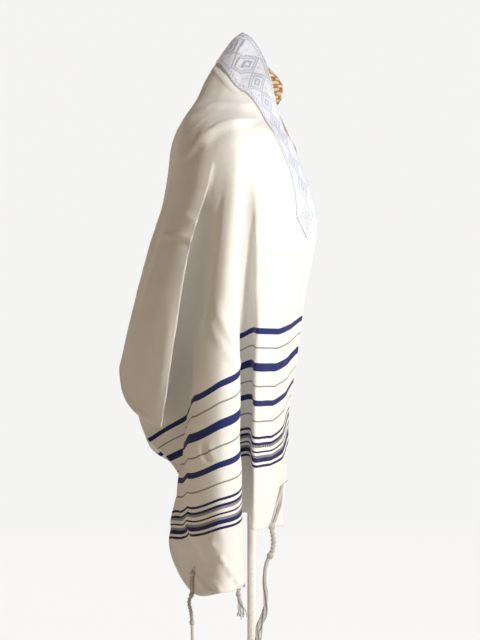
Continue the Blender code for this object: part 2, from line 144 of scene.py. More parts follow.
def ring_place(ring, turn):
    """Where a fold at this angle crosses a ring: x, y, z, u, v."""
    across, along = sin(radians(turn)), abs(cos(radians(turn)))
    side_u, side_v = ring.side_uv
    if turn <= 90:
        along = along * (1 - RING_SLANT) + (1 - across) * RING_SLANT
        end_x, end_y, end_z = ring.front
        end_u, end_v = ring.front_u, 0
    else:
        end_x, end_y, end_z = ring.back
        end_u, end_v = 0, ring.back_v
    side_x, side_y, side_z = ring.side
    x = side_x + (end_x - side_x) * along
    y = end_y + (side_y - end_y) * across
    z = side_z + (end_z - side_z) * along
    if turn <= 90:
        return x, y, z, side_u + (end_u - side_u) * along, side_v * across
    return x, y, z, side_u * across, side_v + (end_v - side_v) * along


def fold_line(fold):
    """The places that one fold runs through, from the peak down to its foot."""
    places = [(*PEAK, 0, 0)] + [ring_place(ring, fold.turn) for ring in RINGS]
    top = np.array(places[-1])
    foot = np.array([*fold.foot, *fold.cut], float)
    for step, (x, y), share in ((1, fold.high, fold.share_high), (2, fold.low, fold.share_low)):
        z = top[2] + (foot[2] - top[2]) * step / 3
        u, v = top[3:] + (foot[3:] - top[3:]) * share
        places.append((x, y, z, u, v))
    return places + [tuple(foot)]


def fold_net():
    """All the folds, right edge to left edge: an array of folds by places by x, y, z, u, v."""
    right = np.array([fold_line(fold) for fold in FOLDS])
    left = right[-2::-1].copy()
    left[:, :, 1] *= -1
    left[:, :, 3] *= -CUT_LEFT / CUT_RIGHT
    shoulder = 1 + [ring.name for ring in RINGS].index("shoulder")
    fall = np.clip((np.arange(left.shape[1]) - len(RINGS)) / 3, 0, 1)
    for line, fold in zip(left, FOLDS[-2::-1]):
        shift = LEFT_SHIFTS[fold.name]
        line[shoulder - 1, 0] += shift.neck_x
        line[shoulder, 0] += shift.shoulder_x
        line[:, :3] += np.outer(fall, shift.foot)
    return np.concatenate([right, left])


def tangents(knots, values):
    """Slopes of a smooth curve through values at uneven knots, along the first axis."""
    steps = np.diff(knots).reshape((-1,) + (1,) * (values.ndim - 1))
    rise = np.diff(values, axis=0) / steps
    slopes = np.empty_like(values)
    slopes[0], slopes[-1] = rise[0], rise[-1]
    slopes[1:-1] = (rise[:-1] * steps[1:] + rise[1:] * steps[:-1]) / (steps[1:] + steps[:-1])
    return slopes


def between(t, step, start, end, start_slope, end_slope):
    """Values the share t of the way along a smooth curve from start to end."""
    value = (2 * t ** 3 - 3 * t ** 2 + 1) * start + (t ** 3 - 2 * t ** 2 + t) * step * start_slope
    return value + (3 * t ** 2 - 2 * t ** 3) * end + (t ** 3 - t ** 2) * step * end_slope


def smooth_between(knots, values, index, part):
    """Values a part of the way from each indexed knot to the next, on the smooth curve."""
    slopes = tangents(knots, values)
    shape = (-1,) + (1,) * (values.ndim - 1)
    step = (knots[index + 1] - knots[index]).reshape(shape)
    return between(part.reshape(shape), step, values[index], values[index + 1],
                   slopes[index], slopes[index + 1])


def bracket(knots, values):
    """The knot before each value, and how far each value lies towards the next knot."""
    index = np.clip(np.searchsorted(knots, values, side="right") - 1, 0, len(knots) - 2)
    return index, (values - knots[index]) / (knots[index + 1] - knots[index])


def inside_cell(corners, spots):
    """Solve for how far across and down a four-cornered cell of the cut each spot lies."""
    origin, side, fall = corners[0], corners[1] - corners[0], corners[2] - corners[0]
    twist = corners[3] - corners[2] - side
    across, down = np.full(len(spots), 0.5), np.full(len(spots), 0.5)
    for _ in range(12):
        miss = origin + np.outer(across, side) + np.outer(down, fall)
        miss += np.outer(across * down, twist) - spots
        da, dd = side + np.outer(down, twist), fall + np.outer(across, twist)
        area = da[:, 0] * dd[:, 1] - da[:, 1] * dd[:, 0]
        area = np.where(abs(area) < 1e-9, 1e-9, area)
        across = across - (miss[:, 0] * dd[:, 1] - miss[:, 1] * dd[:, 0]) / area
        down = down - (da[:, 0] * miss[:, 1] - da[:, 1] * miss[:, 0]) / area
        across, down = np.clip(across, -0.5, 1.5), np.clip(down, -0.5, 1.5)
    miss = origin + np.outer(across, side) + np.outer(down, fall)
    miss += np.outer(across * down, twist) - spots
    found = (abs(across - 0.5) < 0.502) & (abs(down - 0.5) < 0.502)
    return found & (np.abs(miss).max(axis=1) < 0.05), across, down


def drape(net, spots):
    """Places on the drape, mm, of spots (u, v) on the flat cut."""
    folds, levels = net.shape[:2]
    fold = np.full(len(spots), -1)
    level = np.zeros(len(spots), int)
    across, down = np.zeros(len(spots)), np.zeros(len(spots))
    for i in range(folds - 1):
        for j in range(levels - 1):
            corners = net[[i, i + 1, i, i + 1], [j, j, j + 1, j + 1], 3:]
            low, high = corners.min(0) - 0.001, corners.max(0) + 0.001
            near = np.where((fold < 0) & (spots >= low).all(1) & (spots <= high).all(1))[0]
            if len(near):
                found, a, d = inside_cell(corners, spots[near])
                near, a, d = near[found], a[found], d[found]
                fold[near], level[near] = i, j
                across[near], down[near] = np.clip(a, 0, 1), np.clip(d, 0, 1)
    if (fold < 0).any():
        raise ValueError("a spot lies off the cut")
    lengths = np.linalg.norm(np.diff(net[:, :, 3:], axis=1), axis=2).mean(0)
    level_knots = np.r_[0, np.cumsum(lengths)]
    fold_knots = distances(net[:, -1, 3:])
    lines = smooth_between(level_knots, net[:, :, :3].transpose(1, 0, 2), level, down)
    lines = lines.transpose(1, 0, 2)
    spot = np.arange(len(spots))
    slopes = tangents(fold_knots, lines)
    step = (fold_knots[fold + 1] - fold_knots[fold])[:, None]
    return between(across[:, None], step, lines[fold, spot], lines[fold + 1, spot],
                   slopes[fold, spot], slopes[fold + 1, spot])


def even_steps(stops, cell):
    """Values from the first stop to the last, evenly stepped between each two stops."""
    runs = [stops[:1]]
    for start, end in zip(stops, stops[1:]):
        runs.append(np.linspace(start, end, max(1, round(abs(end - start) / cell)) + 1)[1:])
    return np.concatenate(runs)


def unit(vectors):
    return vectors / np.linalg.norm(vectors, axis=-1, keepdims=True)


def distances(route):
    """How far along a route each of its places is."""
    return np.r_[0, np.cumsum(np.linalg.norm(np.diff(route, axis=0), axis=1))]


def grid_normals(places):
    """Outward unit vectors of a grid of places, from the facets round each of them."""
    return unit(np.cross(np.gradient(places, axis=1), np.gradient(places, axis=0)))


def soft_step(value, low, high):
    """0 below low, 1 above high and smooth between them."""
    part = np.clip((value - low) / (high - low), 0, 1)
    return part * part * (3 - 2 * part)


# --- Creases ---

# Besides its folds the cloth has creases. Each runs on the cut from start to end (u, v) and
# bows sideways between them. It is a ridge where its height is above zero and a trough
# below it, mm.
Crease = namedtuple("Crease", "name start end bow width height")
CREASES = [
    Crease("shoulder_ridge", (138, 243), (176, 84), 48, 6, 5.0),
    Crease("under_shoulder_ridge", (152, 248), (190, 84), 48, 9, -3.0),
    Crease("hood_step", (98, 158), (136, 66), 16, 13, 5.0),
    Crease("hood_roll", (18, 75), (112, 71), 0, 5, 4.2),
    Crease("hood_hollow", (30, 67), (100, 67), 0, 3, -2.2),
    Crease("yoke_left", (120, 215), (165, 150), 12, 9, 2.0),
    Crease("yoke_low", (182, 210), (214, 168), 8, 6, 1.6),
    Crease("press_flap", (130, 357), (232, 324), 0, 3.4, 4.0),
    Crease("press_flap_under", (134, 364), (236, 331), 0, 4.5, -2.2),
    Crease("press_small", (190, 300), (236, 296), 2, 4, 2.6),
    Crease("press_chest", (418, 150), (416, 38), 3, 3.6, 4.0),
    Crease("press_chest_under", (425, 150), (423, 38), 3, 5, -2.0),
    Crease("ridge_pull_one", (422, 282), (526, 281), 8, 6, 3.6),
    Crease("ridge_pull_two", (440, 300), (508, 302), -6, 5, 2.8),
    Crease("ridge_pull_three", (504, 309), (549, 276), 5, 6, 2.4),
    Crease("panel_nip_one", (626, 417), (664, 425), 2, 4.5, 3.6),
    Crease("panel_nip_two", (627, 395), (664, 407), -2, 4.5, 3.0),
    Crease("panel_nip_gap", (630, 406), (664, 416), 0, 4, -2.6),
    Crease("wave_back", (690, 585), (806, 578), 3, 9, 2.7),
    Crease("wave_mid", (685, 556), (800, 548), -3, 9, -2.4),
    Crease("wave_front", (690, 524), (812, 518), 3, 10, 2.4),
    Crease("bump_one", (788, 491), (808, 484), 0, 6, 4.2),
    Crease("bump_two", (818, 484), (836, 478), 0, 7, 4.8),
    Crease("bump_three", (840, 477), (856, 470), 0, 6, 4.6),
    Crease("bump_four", (858, 466), (880, 446), 0, 6, 4.2),
    Crease("corner_pull_one", (842, 568), (884, 540), 2, 6, 3.6),
    Crease("corner_pull_two", (846, 540), (884, 512), -2, 6, 3.0),
    Crease("panel_line", (330, 136), (640, 148), 6, 6, -2.2),
    Crease("panel_line_front", (420, 133), (560, 114), -4, 7, 1.8),
    Crease("panel_low_fold", (560, 104), (860, 92), 6, 9, -2.4),
    Crease("chest_fold", (300, 118), (420, 104), 5, 10, 2.0),
    Crease("flap_long", (210, 420), (196, 596), 6, 12, 2.2),
    Crease("flap_pull", (170, 300), (120, 470), -10, 14, 3.2),
    Crease("back_pull_right", (96, 250), (64, 440), 8, 16, 3.0),
    Crease("back_pull_middle", (10, 270), (-18, 520), -8, 18, -3.0),
    Crease("back_pull_left", (-88, 262), (-72, 430), 7, 15, 2.6),
    Crease("press_back", (92, 352), (-120, 350), 4, 3.5, 1.2),
    Crease("far_shoulder_ridge", (-146, 246), (-180, 90), -44, 8, 2.8),
    Crease("far_shoulder_under", (-160, 250), (-196, 92), -44, 9, -1.5),
    Crease("far_hood_step", (-104, 150), (-138, 74), -14, 10, 2.4),
    Crease("far_hood_roll", (-24, 74), (-118, 72), 0, 5, 3.2),
    Crease("far_press_flap", (-140, 352), (-236, 330), 0, 3.4, 1.3),
    Crease("far_press_chest", (-430, 146), (-426, 40), -3, 3.5, 1.1),
    Crease("far_ridge_pull_one", (-440, 292), (-536, 286), -8, 6, 2.2),
    Crease("far_ridge_pull_two", (-470, 318), (-520, 300), 6, 6, 1.6),
    Crease("far_panel_line", (-350, 138), (-650, 146), -6, 6, -2.0),
    Crease("far_wave_back", (-720, 580), (-840, 572), -3, 9, 2.0),
    Crease("far_wave_mid", (-716, 548), (-836, 540), 3, 9, -1.8),
    Crease("far_bump_one", (-828, 486), (-850, 478), 0, 7, 3.2),
    Crease("far_bump_two", (-866, 478), (-890, 466), 0, 7, 3.2),
    Crease("far_corner_pull", (-884, 560), (-918, 520), -4, 7, 2.0),
    Crease("far_flap_long", (-214, 430), (-204, 596), -6, 12, 2.0),
]

# Waves all over the cloth: their length and height, mm.
Wave = namedtuple("Wave", "length height")
WAVES = [Wave(120, 0.9), Wave(46, 0.32), Wave(19, 0.10)]


def crease_height(crease, u, v):
    """How far a crease lifts the cloth at places on the cut."""
    start, end = np.array(crease.start, float), np.array(crease.end, float)
    length = np.linalg.norm(end - start)
    way = (end - start) / length
    side = np.array([way[1], -way[0]])
    if side[0] * np.sign(end[0] + start[0]) < 0:
        side = -side
    along = ((u - start[0]) * way[0] + (v - start[1]) * way[1]) / length
    away = (u - start[0]) * side[0] + (v - start[1]) * side[1]
    bow = crease.bow * np.sign(end[0] + start[0]) * 4 * along * (1 - along)
    ends = soft_step(along, -0.08, 0.3) * soft_step(1 - along, -0.08, 0.3)
    return crease.height * ends * np.exp(-((away - bow) / crease.width) ** 2)


def waves(u, v, share):
    """Small uneven waves in the cloth, the same each time."""
    chance = np.random.default_rng(SEED)
    total = np.zeros_like(u)
    for wave in WAVES:
        for _ in range(12):
            turn, shift = chance.uniform(0, 2 * pi, 2)
            length = wave.length * chance.uniform(0.7, 1.5)
            phase = 2 * pi * (u * cos(turn) + v * sin(turn)) / length + shift
            total += np.cos(phase) * wave.height / 4
    return total * share


def cloth_lift(u, v, settings):
    """How far the creases and waves lift the cloth off its plain drape, mm."""
    lift = waves(u, v, settings.wave_share)
    for crease in CREASES:
        lift += crease_height(crease, u, v) * settings.crease_share
    return lift


# --- Meshes ---

def quads_of_grid(rows, columns, first=0, closed=False):
    """Corner numbers of a grid's faces; a closed grid's last column joins its first."""
    across = columns if closed else columns - 1
    i, j = np.meshgrid(np.arange(rows - 1), np.arange(across), indexing="ij")
    a, b = i * columns + j, i * columns + (j + 1) % columns
    return first + np.stack([a, b, b + columns, a + columns], axis=2).reshape(-1, 4)


def mesh_from(name, places, quads, attributes=None):
    """A smooth mesh of four-cornered faces from places in mm, with named numbers at them."""
    mesh = bpy.data.meshes.new(name)
    mesh.vertices.add(len(places))
    mesh.vertices.foreach_set("co", (np.asarray(places) * MM).astype(np.float32).ravel())
    mesh.loops.add(quads.size)
    mesh.loops.foreach_set("vertex_index", quads.astype(np.int32).ravel())
    mesh.polygons.add(len(quads))
    mesh.polygons.foreach_set("loop_start", np.arange(0, quads.size, 4, dtype=np.int32))
    mesh.update(calc_edges=True)
    mesh.validate()
    for key, values in (attributes or {}).items():
        values = np.asarray(values, np.float32)
        kind, field = ("FLOAT", "value") if values.ndim == 1 else ("FLOAT_VECTOR", "vector")
        layer = mesh.attributes.new(key, kind, "POINT")
        layer.data.foreach_set(field, values.ravel())
    mesh.shade_smooth()
    return mesh


def shell_of(name, outer, inner, attributes):
    """A closed wall between two grids of places."""
    rows, columns = outer.shape[:2]
    back = rows * columns
    front = quads_of_grid(rows, columns)
    rim = [i * columns for i in range(rows)]
    rim += [(rows - 1) * columns + j for j in range(1, columns)]
    rim += [i * columns + columns - 1 for i in range(rows - 2, -1, -1)]
    rim += list(range(columns - 2, 0, -1))
    edge = np.array([(a, b, back + b, back + a) for a, b in zip(rim, rim[1:] + rim[:1])])
    quads = np.concatenate([front, back + front[:, ::-1], edge])
    places = np.concatenate([outer.reshape(-1, 3), inner.reshape(-1, 3)])
    twice = {key: np.concatenate([value, value]) for key, value in attributes.items()}
    return mesh_from(name, places, quads, twice)


def joined(parts):
    """Several tubes as one."""
    count, faces = 0, []
    for places, quads, _ in parts:
        faces.append(quads + count)
        count += len(places)
    places, _, grooves = zip(*parts)
    return np.concatenate(places), np.concatenate(faces), np.concatenate(grooves)


def tube(route, radius, sides=8, lobes=0.0, twist=0.0):
    """Places, faces and groove depths of a round tube whose ends close to a point.

    lobes is how deep its two grooves are, as a share of its radius, as plied yarn has them.
    """
    start, end = unit(route[1] - route[0]), unit(route[-1] - route[-2])
    radii = np.r_[radius * 0.05, np.full(len(route), radius), radius * 0.05]
    route = np.concatenate([[route[0] - start * radius * 0.5], route,
                            [route[-1] + end * radius * 0.5]])
    ahead = unit(np.gradient(route, axis=0))
    first = unit(np.cross(ahead, (0.37, 0.83, 0.41)))
    second = np.cross(ahead, first)
    angle = 2 * pi * np.arange(sides) / sides
    groove = np.sin(angle[None] - twist * distances(route)[:, None]) ** 2
    spoke = first[:, None] * np.cos(angle)[None, :, None]
    spoke = spoke + second[:, None] * np.sin(angle)[None, :, None]
    places = route[:, None] + spoke * (radii[:, None] * (1 - lobes * groove))[:, :, None]
    return places.reshape(-1, 3), quads_of_grid(len(route), sides, closed=True), groove.ravel()


def on_curve(points, step):
    """Places every step along a smooth curve through points, and how far along each is."""
    points = np.asarray(points, float)
    reach = distances(points)
    ways = np.linspace(0, reach[-1], max(3, round(reach[-1] / step) + 1))
    return smooth_between(reach, points, *bracket(reach, ways)), ways


def new_object(name, data):
    thing = bpy.data.objects.new(name, data)
    bpy.context.scene.collection.objects.link(thing)
    return thing


def add_piece(name, mesh, material, node):
    """Puts a piece on the model's one body, in the place of its plain solid."""
    mesh.materials.append(material)
    piece = new_object(name, mesh)
    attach(piece, "root")
    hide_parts(node)
    return piece


# --- Materials ---

class Tree:
    """A short hand for building one node tree."""

    def __init__(self, tree):
        self.nodes, self.links = tree.nodes, tree.links

    def add(self, kind, inputs=None, **settings):
        node = self.nodes.new(kind)
        for key, value in settings.items():
            setattr(node, key, value)
        self.fill(node, inputs or {})
        return node

    def feed(self, value, socket):
        if isinstance(value, bpy.types.NodeSocket):
            self.links.new(value, socket)
        else:
            socket.default_value = value

    def maths(self, operation, *values, clamp=False):
        inputs = dict(enumerate(values))
        node = self.add("ShaderNodeMath", inputs, operation=operation, use_clamp=clamp)
        return node.outputs[0]

    def times(self, first, second):
        return self.maths("MULTIPLY", first, second)

    def times_plus(self, value, factor, more, clamp=False):
        return self.maths("MULTIPLY_ADD", value, factor, more, clamp=clamp)

    def fill(self, node, inputs):
        for key, value in inputs.items():
            self.feed(value, node.inputs[key])

    def noise(self, vector, scale, detail=2.0, roughness=0.5):
        inputs = {"Vector": vector, "Scale": scale, "Detail": detail, "Roughness": roughness}
        return self.add("ShaderNodeTexNoise", inputs).outputs["Fac"]

    def stretched(self, vector, factors):
        node = self.add("ShaderNodeVectorMath", {0: vector, 1: factors}, operation="MULTIPLY")
        return node.outputs[0]

    def blend(self, share, first, second, kind="MIX"):
        node = self.add("ShaderNodeMix", data_type="RGBA", blend_type=kind)
        for value, socket in ((share, 0), (first, 6), (second, 7)):
            self.feed(value, node.inputs[socket])
        return node.outputs[2]

    def remap(self, value, low, high, new_low=0.0, new_high=1.0):
        inputs = {"Value": value, 1: low, 2: high, 3: new_low, 4: new_high}
        return self.add("ShaderNodeMapRange", inputs).outputs[0]


def new_group(name, inputs, outputs):
    """An empty shader node group with named sockets. Returns it, its tree and its ends."""
    group = bpy.data.node_groups.new(name, "ShaderNodeTree")
    for label, kind, value in inputs:
        socket = group.interface.new_socket(name=label, in_out="INPUT", socket_type=kind)
        if value is not None:
            socket.default_value = value
    for label, kind in outputs:
        group.interface.new_socket(name=label, in_out="OUTPUT", socket_type=kind)
    tree = Tree(group)
    return group, tree, tree.add("NodeGroupInput"), tree.add("NodeGroupOutput")


def make_weave_group():
    """Warp and weft threads, uneven as spun yarn is, from a place on the cut in metres."""
    group, tree, given, result = new_group(
        "Woven threads",
        [("Cut", "NodeSocketVector", None), ("Threads", "NodeSocketFloat", 700.0),
         ("Unevenness", "NodeSocketFloat", 0.5)],
        [("Height", "NodeSocketFloat"), ("Shade", "NodeSocketFloat")])
    cut, threads = given.outputs["Cut"], given.outputs["Threads"]
    place = tree.add("ShaderNodeSeparateXYZ", {0: cut})
    ribs = []
    for axis in (0, 1):
        turned = tree.times(place.outputs[axis], threads)
        ribs.append(tree.maths("SINE", tree.times(turned, 2 * pi)))
    over = tree.times(ribs[0], ribs[1])
    weft = tree.noise(tree.stretched(cut, (900.0, 70.0, 1.0)), 1.0, 3.0, 0.6)
    warp = tree.noise(tree.stretched(cut, (60.0, 800.0, 1.0)), 1.0, 3.0, 0.6)
    slub = tree.maths("ADD", tree.times(weft, 0.62),
                      tree.times(warp, 0.38))
    uneven = tree.times(tree.maths("SUBTRACT", slub, 0.5), 3.0)
    uneven = tree.times(uneven, given.outputs["Unevenness"])
    height = tree.times_plus(over, 0.25, uneven)
    tree.feed(tree.maths("ADD", height, 0.5), result.inputs["Height"])
    tree.feed(tree.times_plus(uneven, 0.5, 0.5, clamp=True), result.inputs["Shade"])
    return group


def make_mottle_group():
    """Broad and fine cloudiness, for dust, handling and uneven dye, from a place in metres."""
    group, tree, given, result = new_group(
        "Cloudiness",
        [("Place", "NodeSocketVector", None), ("Scale", "NodeSocketFloat", 12.0)],
        [("Broad", "NodeSocketFloat"), ("Fine", "NodeSocketFloat")])
    place, scale = given.outputs["Place"], given.outputs["Scale"]
    broad = tree.noise(place, scale, 3.0, 0.55)
    fine = tree.noise(place, tree.times(scale, 14.0), 4.0, 0.6)
    tree.feed(tree.remap(broad, 0.3, 0.7), result.inputs["Broad"])
    tree.feed(tree.remap(fine, 0.3, 0.7), result.inputs["Fine"])
    return group


def woven_threads(tree, cut, threads, unevenness):
    """The outputs of the thread group, which is built once, placed in a material."""
    group = bpy.data.node_groups.get("Woven threads") or make_weave_group()
    inputs = {"Cut": cut, "Threads": threads, "Unevenness": unevenness}
    return tree.add("ShaderNodeGroup", inputs, node_tree=group).outputs


def cloudiness(tree, place, scale):
    """The outputs of the cloud group, which is built once, placed in a material."""
    group = bpy.data.node_groups.get("Cloudiness") or make_mottle_group()
    return tree.add("ShaderNodeGroup", {"Place": place, "Scale": scale},
                    node_tree=group).outputs


def toned(tree, colour, shade):
    """A colour times a shade of grey."""
    tone = tree.add("ShaderNodeCombineColor", {0: shade, 1: shade, 2: shade}).outputs[0]
    return tree.blend(1.0, colour, tone, "MULTIPLY")


def new_material(name, constants):
    """A material with one Principled shader. Constants are set on its own sockets."""
    material = bpy.data.materials.new(name)
    material.use_nodes = True
    tree = Tree(material.node_tree)
    shader = tree.nodes["Principled BSDF"]
    for key, value in constants.items():
        shader.inputs[key].default_value = value
    return material, tree, shader


def attribute(tree, name, output="Vector"):
    return tree.add("ShaderNodeAttribute", attribute_name=name).outputs[output]


def bump(tree, height, distance, strength=1.0):
    inputs = {"Height": height, "Distance": distance, "Strength": strength}
    return tree.add("ShaderNodeBump", inputs).outputs["Normal"]


# Stripes woven across both ends: how far each lies above the hem, mm, and its yarn.
Stripe = namedtuple("Stripe", "low high yarn")
STRIPES = [
    Stripe(101.6, 105.6, "navy"),
    Stripe(109.7, 116.8, "navy"),
    Stripe(116.8, 121.0, "silver"),
    Stripe(125.4, 129.0, "navy"),
    Stripe(134.6, 138.0, "silver"),
    Stripe(138.0, 143.0, "navy"),
    Stripe(149.0, 153.0, "navy"),
    Stripe(175.0, 178.0, "grey"),
    Stripe(201.0, 210.0, "blue"),
    Stripe(233.0, 236.0, "grey"),
    Stripe(259.0, 273.5, "blue"),
    Stripe(297.0, 300.0, "grey"),
    Stripe(322.0, 331.0, "blue"),
]
STRIPES_REACH = 0.36       # metres above the hem that the stripes' colour ramp spans


def stripe_ramp(tree, height, ground, colours):
    """A colour at each height above the hem, in metres: the ground's or a stripe's."""
    node = tree.add("ShaderNodeValToRGB", {0: tree.maths("DIVIDE", height, STRIPES_REACH)})
    ramp = node.color_ramp
    ramp.interpolation = "CONSTANT"
    ramp.elements.remove(ramp.elements[1])
    ramp.elements[0].color = ground
    spots = []
    for place, stripe in enumerate(STRIPES):
        spots.append((stripe.low, colours[stripe.yarn]))
        if place + 1 == len(STRIPES) or STRIPES[place + 1].low > stripe.high:
            spots.append((stripe.high, ground))
    for height_mm, colour in spots:
        element = ramp.elements.new(height_mm * MM / STRIPES_REACH)
        element.color = colour
    return node.outputs["Color"]


def hem_height(tree, cut):
    """How far a place on the cut is above the nearer hem, in metres."""
    u = tree.add("ShaderNodeSeparateXYZ", {0: cut}).outputs[0]
    right = tree.maths("SUBTRACT", CUT_RIGHT * MM, u)
    left = tree.maths("ADD", u, CUT_LEFT * MM)
    return tree.maths("MINIMUM", right, left)


def wool_material(settings):
    constants = {"Roughness": 0.88, "Specular IOR Level": 0.25, "Sheen Weight": 0.12,
                 "Sheen Roughness": 0.45}
    material, tree, shader = new_material("Striped wool", constants)
    cut = attribute(tree, "cut")
    weave = woven_threads(tree, cut, 620.0, 0.55)
    clouds = cloudiness(tree, cut, 9.0)
    ragged = tree.times_plus(weave["Shade"], 0.0007, -0.00035)
    height = tree.maths("ADD", hem_height(tree, cut), ragged)
    wool = (*settings.wool, 1)
    yarns = {"blue": settings.blue, "navy": settings.navy, "grey": settings.grey,
             "silver": settings.silver}
    striped = stripe_ramp(tree, height, wool, {k: (*c, 1) for k, c in yarns.items()})
    silvered = stripe_ramp(tree, height, (0, 0, 0, 1),
                           {k: (float(k == "silver"),) * 3 + (1,) for k in yarns})
    dyed = stripe_ramp(tree, height, (0, 0, 0, 1),
                       {k: (float(k in ("blue", "navy")),) * 3 + (1,) for k in yarns})
    rib = tree.add("ShaderNodeSeparateXYZ", {0: cut}).outputs[1]
    rib = tree.maths("SINE", tree.times(rib, 2 * pi / 0.0032))
    rib = tree.times_plus(rib, 0.5, 0.5)
    rib = tree.times(rib, silvered)
    colour = tree.blend(tree.times(rib, 0.8), striped, (*settings.navy, 1))
    shade = tree.remap(weave["Shade"], 0.2, 0.8, 0.86, 1.04)
    shade = tree.times(shade, tree.remap(clouds["Broad"], 0.0, 1.0, 0.985, 1.01))
    rough = tree.times_plus(dyed, -0.22, tree.times_plus(silvered, -0.45, 0.88))
    raised = tree.times_plus(rib, 0.6, tree.times_plus(dyed, 0.4, weave["Height"]))
    tree.fill(shader, {"Base Color": toned(tree, colour, shade),
                       "Metallic": tree.times(silvered, 0.6), "Roughness": rough,
                       "Normal": bump(tree, raised, 0.0006, 0.8)})
    return material


def brocade_material(settings):
    constants = {"Roughness": 0.5, "Specular IOR Level": 0.5, "Sheen Weight": 0.1}
    material, tree, shader = new_material("Silver brocade", constants)
    cut = attribute(tree, "cut")
    motif = attribute(tree, "motif", "Fac")
    weave = woven_threads(tree, cut, 900.0, 0.8)
    clouds = cloudiness(tree, cut, 26.0)
    worn = tree.times(motif, tree.remap(clouds["Fine"], 0.1, 0.9, 0.55, 1.0))
    colour = tree.blend(worn, (*settings.silk, 1), (*settings.thread, 1))
    shade = tree.remap(weave["Shade"], 0.2, 0.8, 0.86, 1.08)
    raised = tree.times_plus(motif, 0.5, weave["Height"])
    tree.fill(shader, {"Base Color": toned(tree, colour, shade),
                       "Metallic": tree.times(worn, 0.55),
                       "Roughness": tree.times_plus(worn, -0.14, 0.52),
                       "Normal": bump(tree, raised, 0.0004, 0.8)})
    return material


def yarn_material(settings):
    constants = {"Roughness": 0.9, "Specular IOR Level": 0.2, "Sheen Weight": 0.3}
    material, tree, shader = new_material("Fringe yarn", constants)
    place = tree.add("ShaderNodeTexCoord").outputs["Object"]
    weave = woven_threads(tree, place, 1500.0, 1.0)
    clouds = cloudiness(tree, place, 60.0)
    # Painted shade: the yarn takes the yarn shade colour in the grooves between its plies, following
    # the ply value. The broad clouds also darken it a little at random.
    deep = tree.times(attribute(tree, "ply", "Fac"), 0.6)
    deep = tree.times_plus(clouds["Broad"], 0.2, deep)
    colour = tree.blend(deep, (*settings.yarn, 1), (*settings.yarn_shade, 1))
    tree.fill(shader, {"Base Color": colour,
                       "Normal": bump(tree, weave["Height"], 0.0003, 0.8)})
    return material


def cane_material(settings):
    constants = {"Roughness": 0.5, "Coat Weight": 0.15, "Coat Roughness": 0.35}
    material, tree, shader = new_material("Woven cane", constants)
    cane = tree.add("ShaderNodeSeparateXYZ", {0: attribute(tree, "cane")})
    lit, strand, along = cane.outputs
    clouds = cloudiness(tree, tree.add("ShaderNodeTexCoord").outputs["Object"], 30.0)
    grain = tree.noise(tree.add("ShaderNodeCombineXYZ", {0: along, 1: strand}).outputs[0],
                       1.0, 4.0, 0.7)
    tint = tree.maths("FRACT", tree.times(strand, 7.31))
    tint = tree.times_plus(tree.remap(grain, 0.3, 0.7), 0.5,
                      tree.times(tint, 0.5))
    colour = tree.blend(tint, (*settings.cane_light, 1), (*settings.cane_mid, 1))
    colour = tree.blend(tree.times(clouds["Fine"], 0.25), colour,
                        (*settings.cane_dark_and_gap_shade, 1))
    # Painted shade: where lit is low, the cane turns to the dark colour. This happens in the gaps
    # between rods, on the rods' edges and where rods pass under the stakes. The step above uses the
    # same colour for random darker patches of cane.
    deep = tree.remap(lit, 0.15, 0.6, 1.0, 0.0)
    colour = tree.blend(deep, colour, (*settings.cane_dark_and_gap_shade, 1))
    tree.fill(shader, {"Base Color": colour,
                       "Roughness": tree.remap(grain, 0.2, 0.8, 0.4, 0.62),
                       "Normal": bump(tree, grain, 0.0003, 0.6)})
    return material


def paint_material(settings):
    constants = {"Roughness": 0.38, "Specular IOR Level": 0.5}
    material, tree, shader = new_material("Painted steel", constants)
    place = tree.add("ShaderNodeTexCoord").outputs["Object"]
    clouds = cloudiness(tree, place, 22.0)
    peel = tree.noise(place, 900.0, 2.0, 0.5)
    scuffed = tree.remap(clouds["Fine"], 0.62, 0.9, 0.0, 0.35)
    colour = tree.blend(scuffed, (*settings.paint, 1), (*settings.scuff, 1))
    tree.fill(shader, {"Base Color": colour,
                       "Roughness": tree.remap(clouds["Broad"], 0.0, 1.0, 0.3, 0.46),
                       "Normal": bump(tree, peel, 0.0001, 0.35)})
    return material


# --- The shawl ---

def cloth_grid(u_stops, v_stops, cell, settings):
    """Places of the cloth's middle, their outward vectors and their u and v, on a grid."""
    along, across = even_steps(u_stops, cell), even_steps(v_stops, cell)
    u, v = np.meshgrid(along, across, indexing="ij")
    spots = np.stack([u.ravel(), v.ravel()], axis=1)
    plain = drape(fold_net(), spots).reshape(*u.shape, 3)
    lifted = plain + grid_normals(plain) * cloth_lift(u, v, settings)[:, :, None]
    return lifted, grid_normals(lifted), u, v


def cut_attribute(u, v):
    return np.stack([u.ravel(), v.ravel(), np.zeros(u.size)], axis=1) * MM


def hem_share(u, v):
    """1 on the turned hems and 0 elsewhere, with a short slope between."""
    inside = np.minimum(CUT_RIGHT - u, u + CUT_LEFT)
    inside = np.minimum(inside, np.minimum(v, CUT_WIDTH - v))
    return 1 - soft_step(inside, HEM - 1.2, HEM)


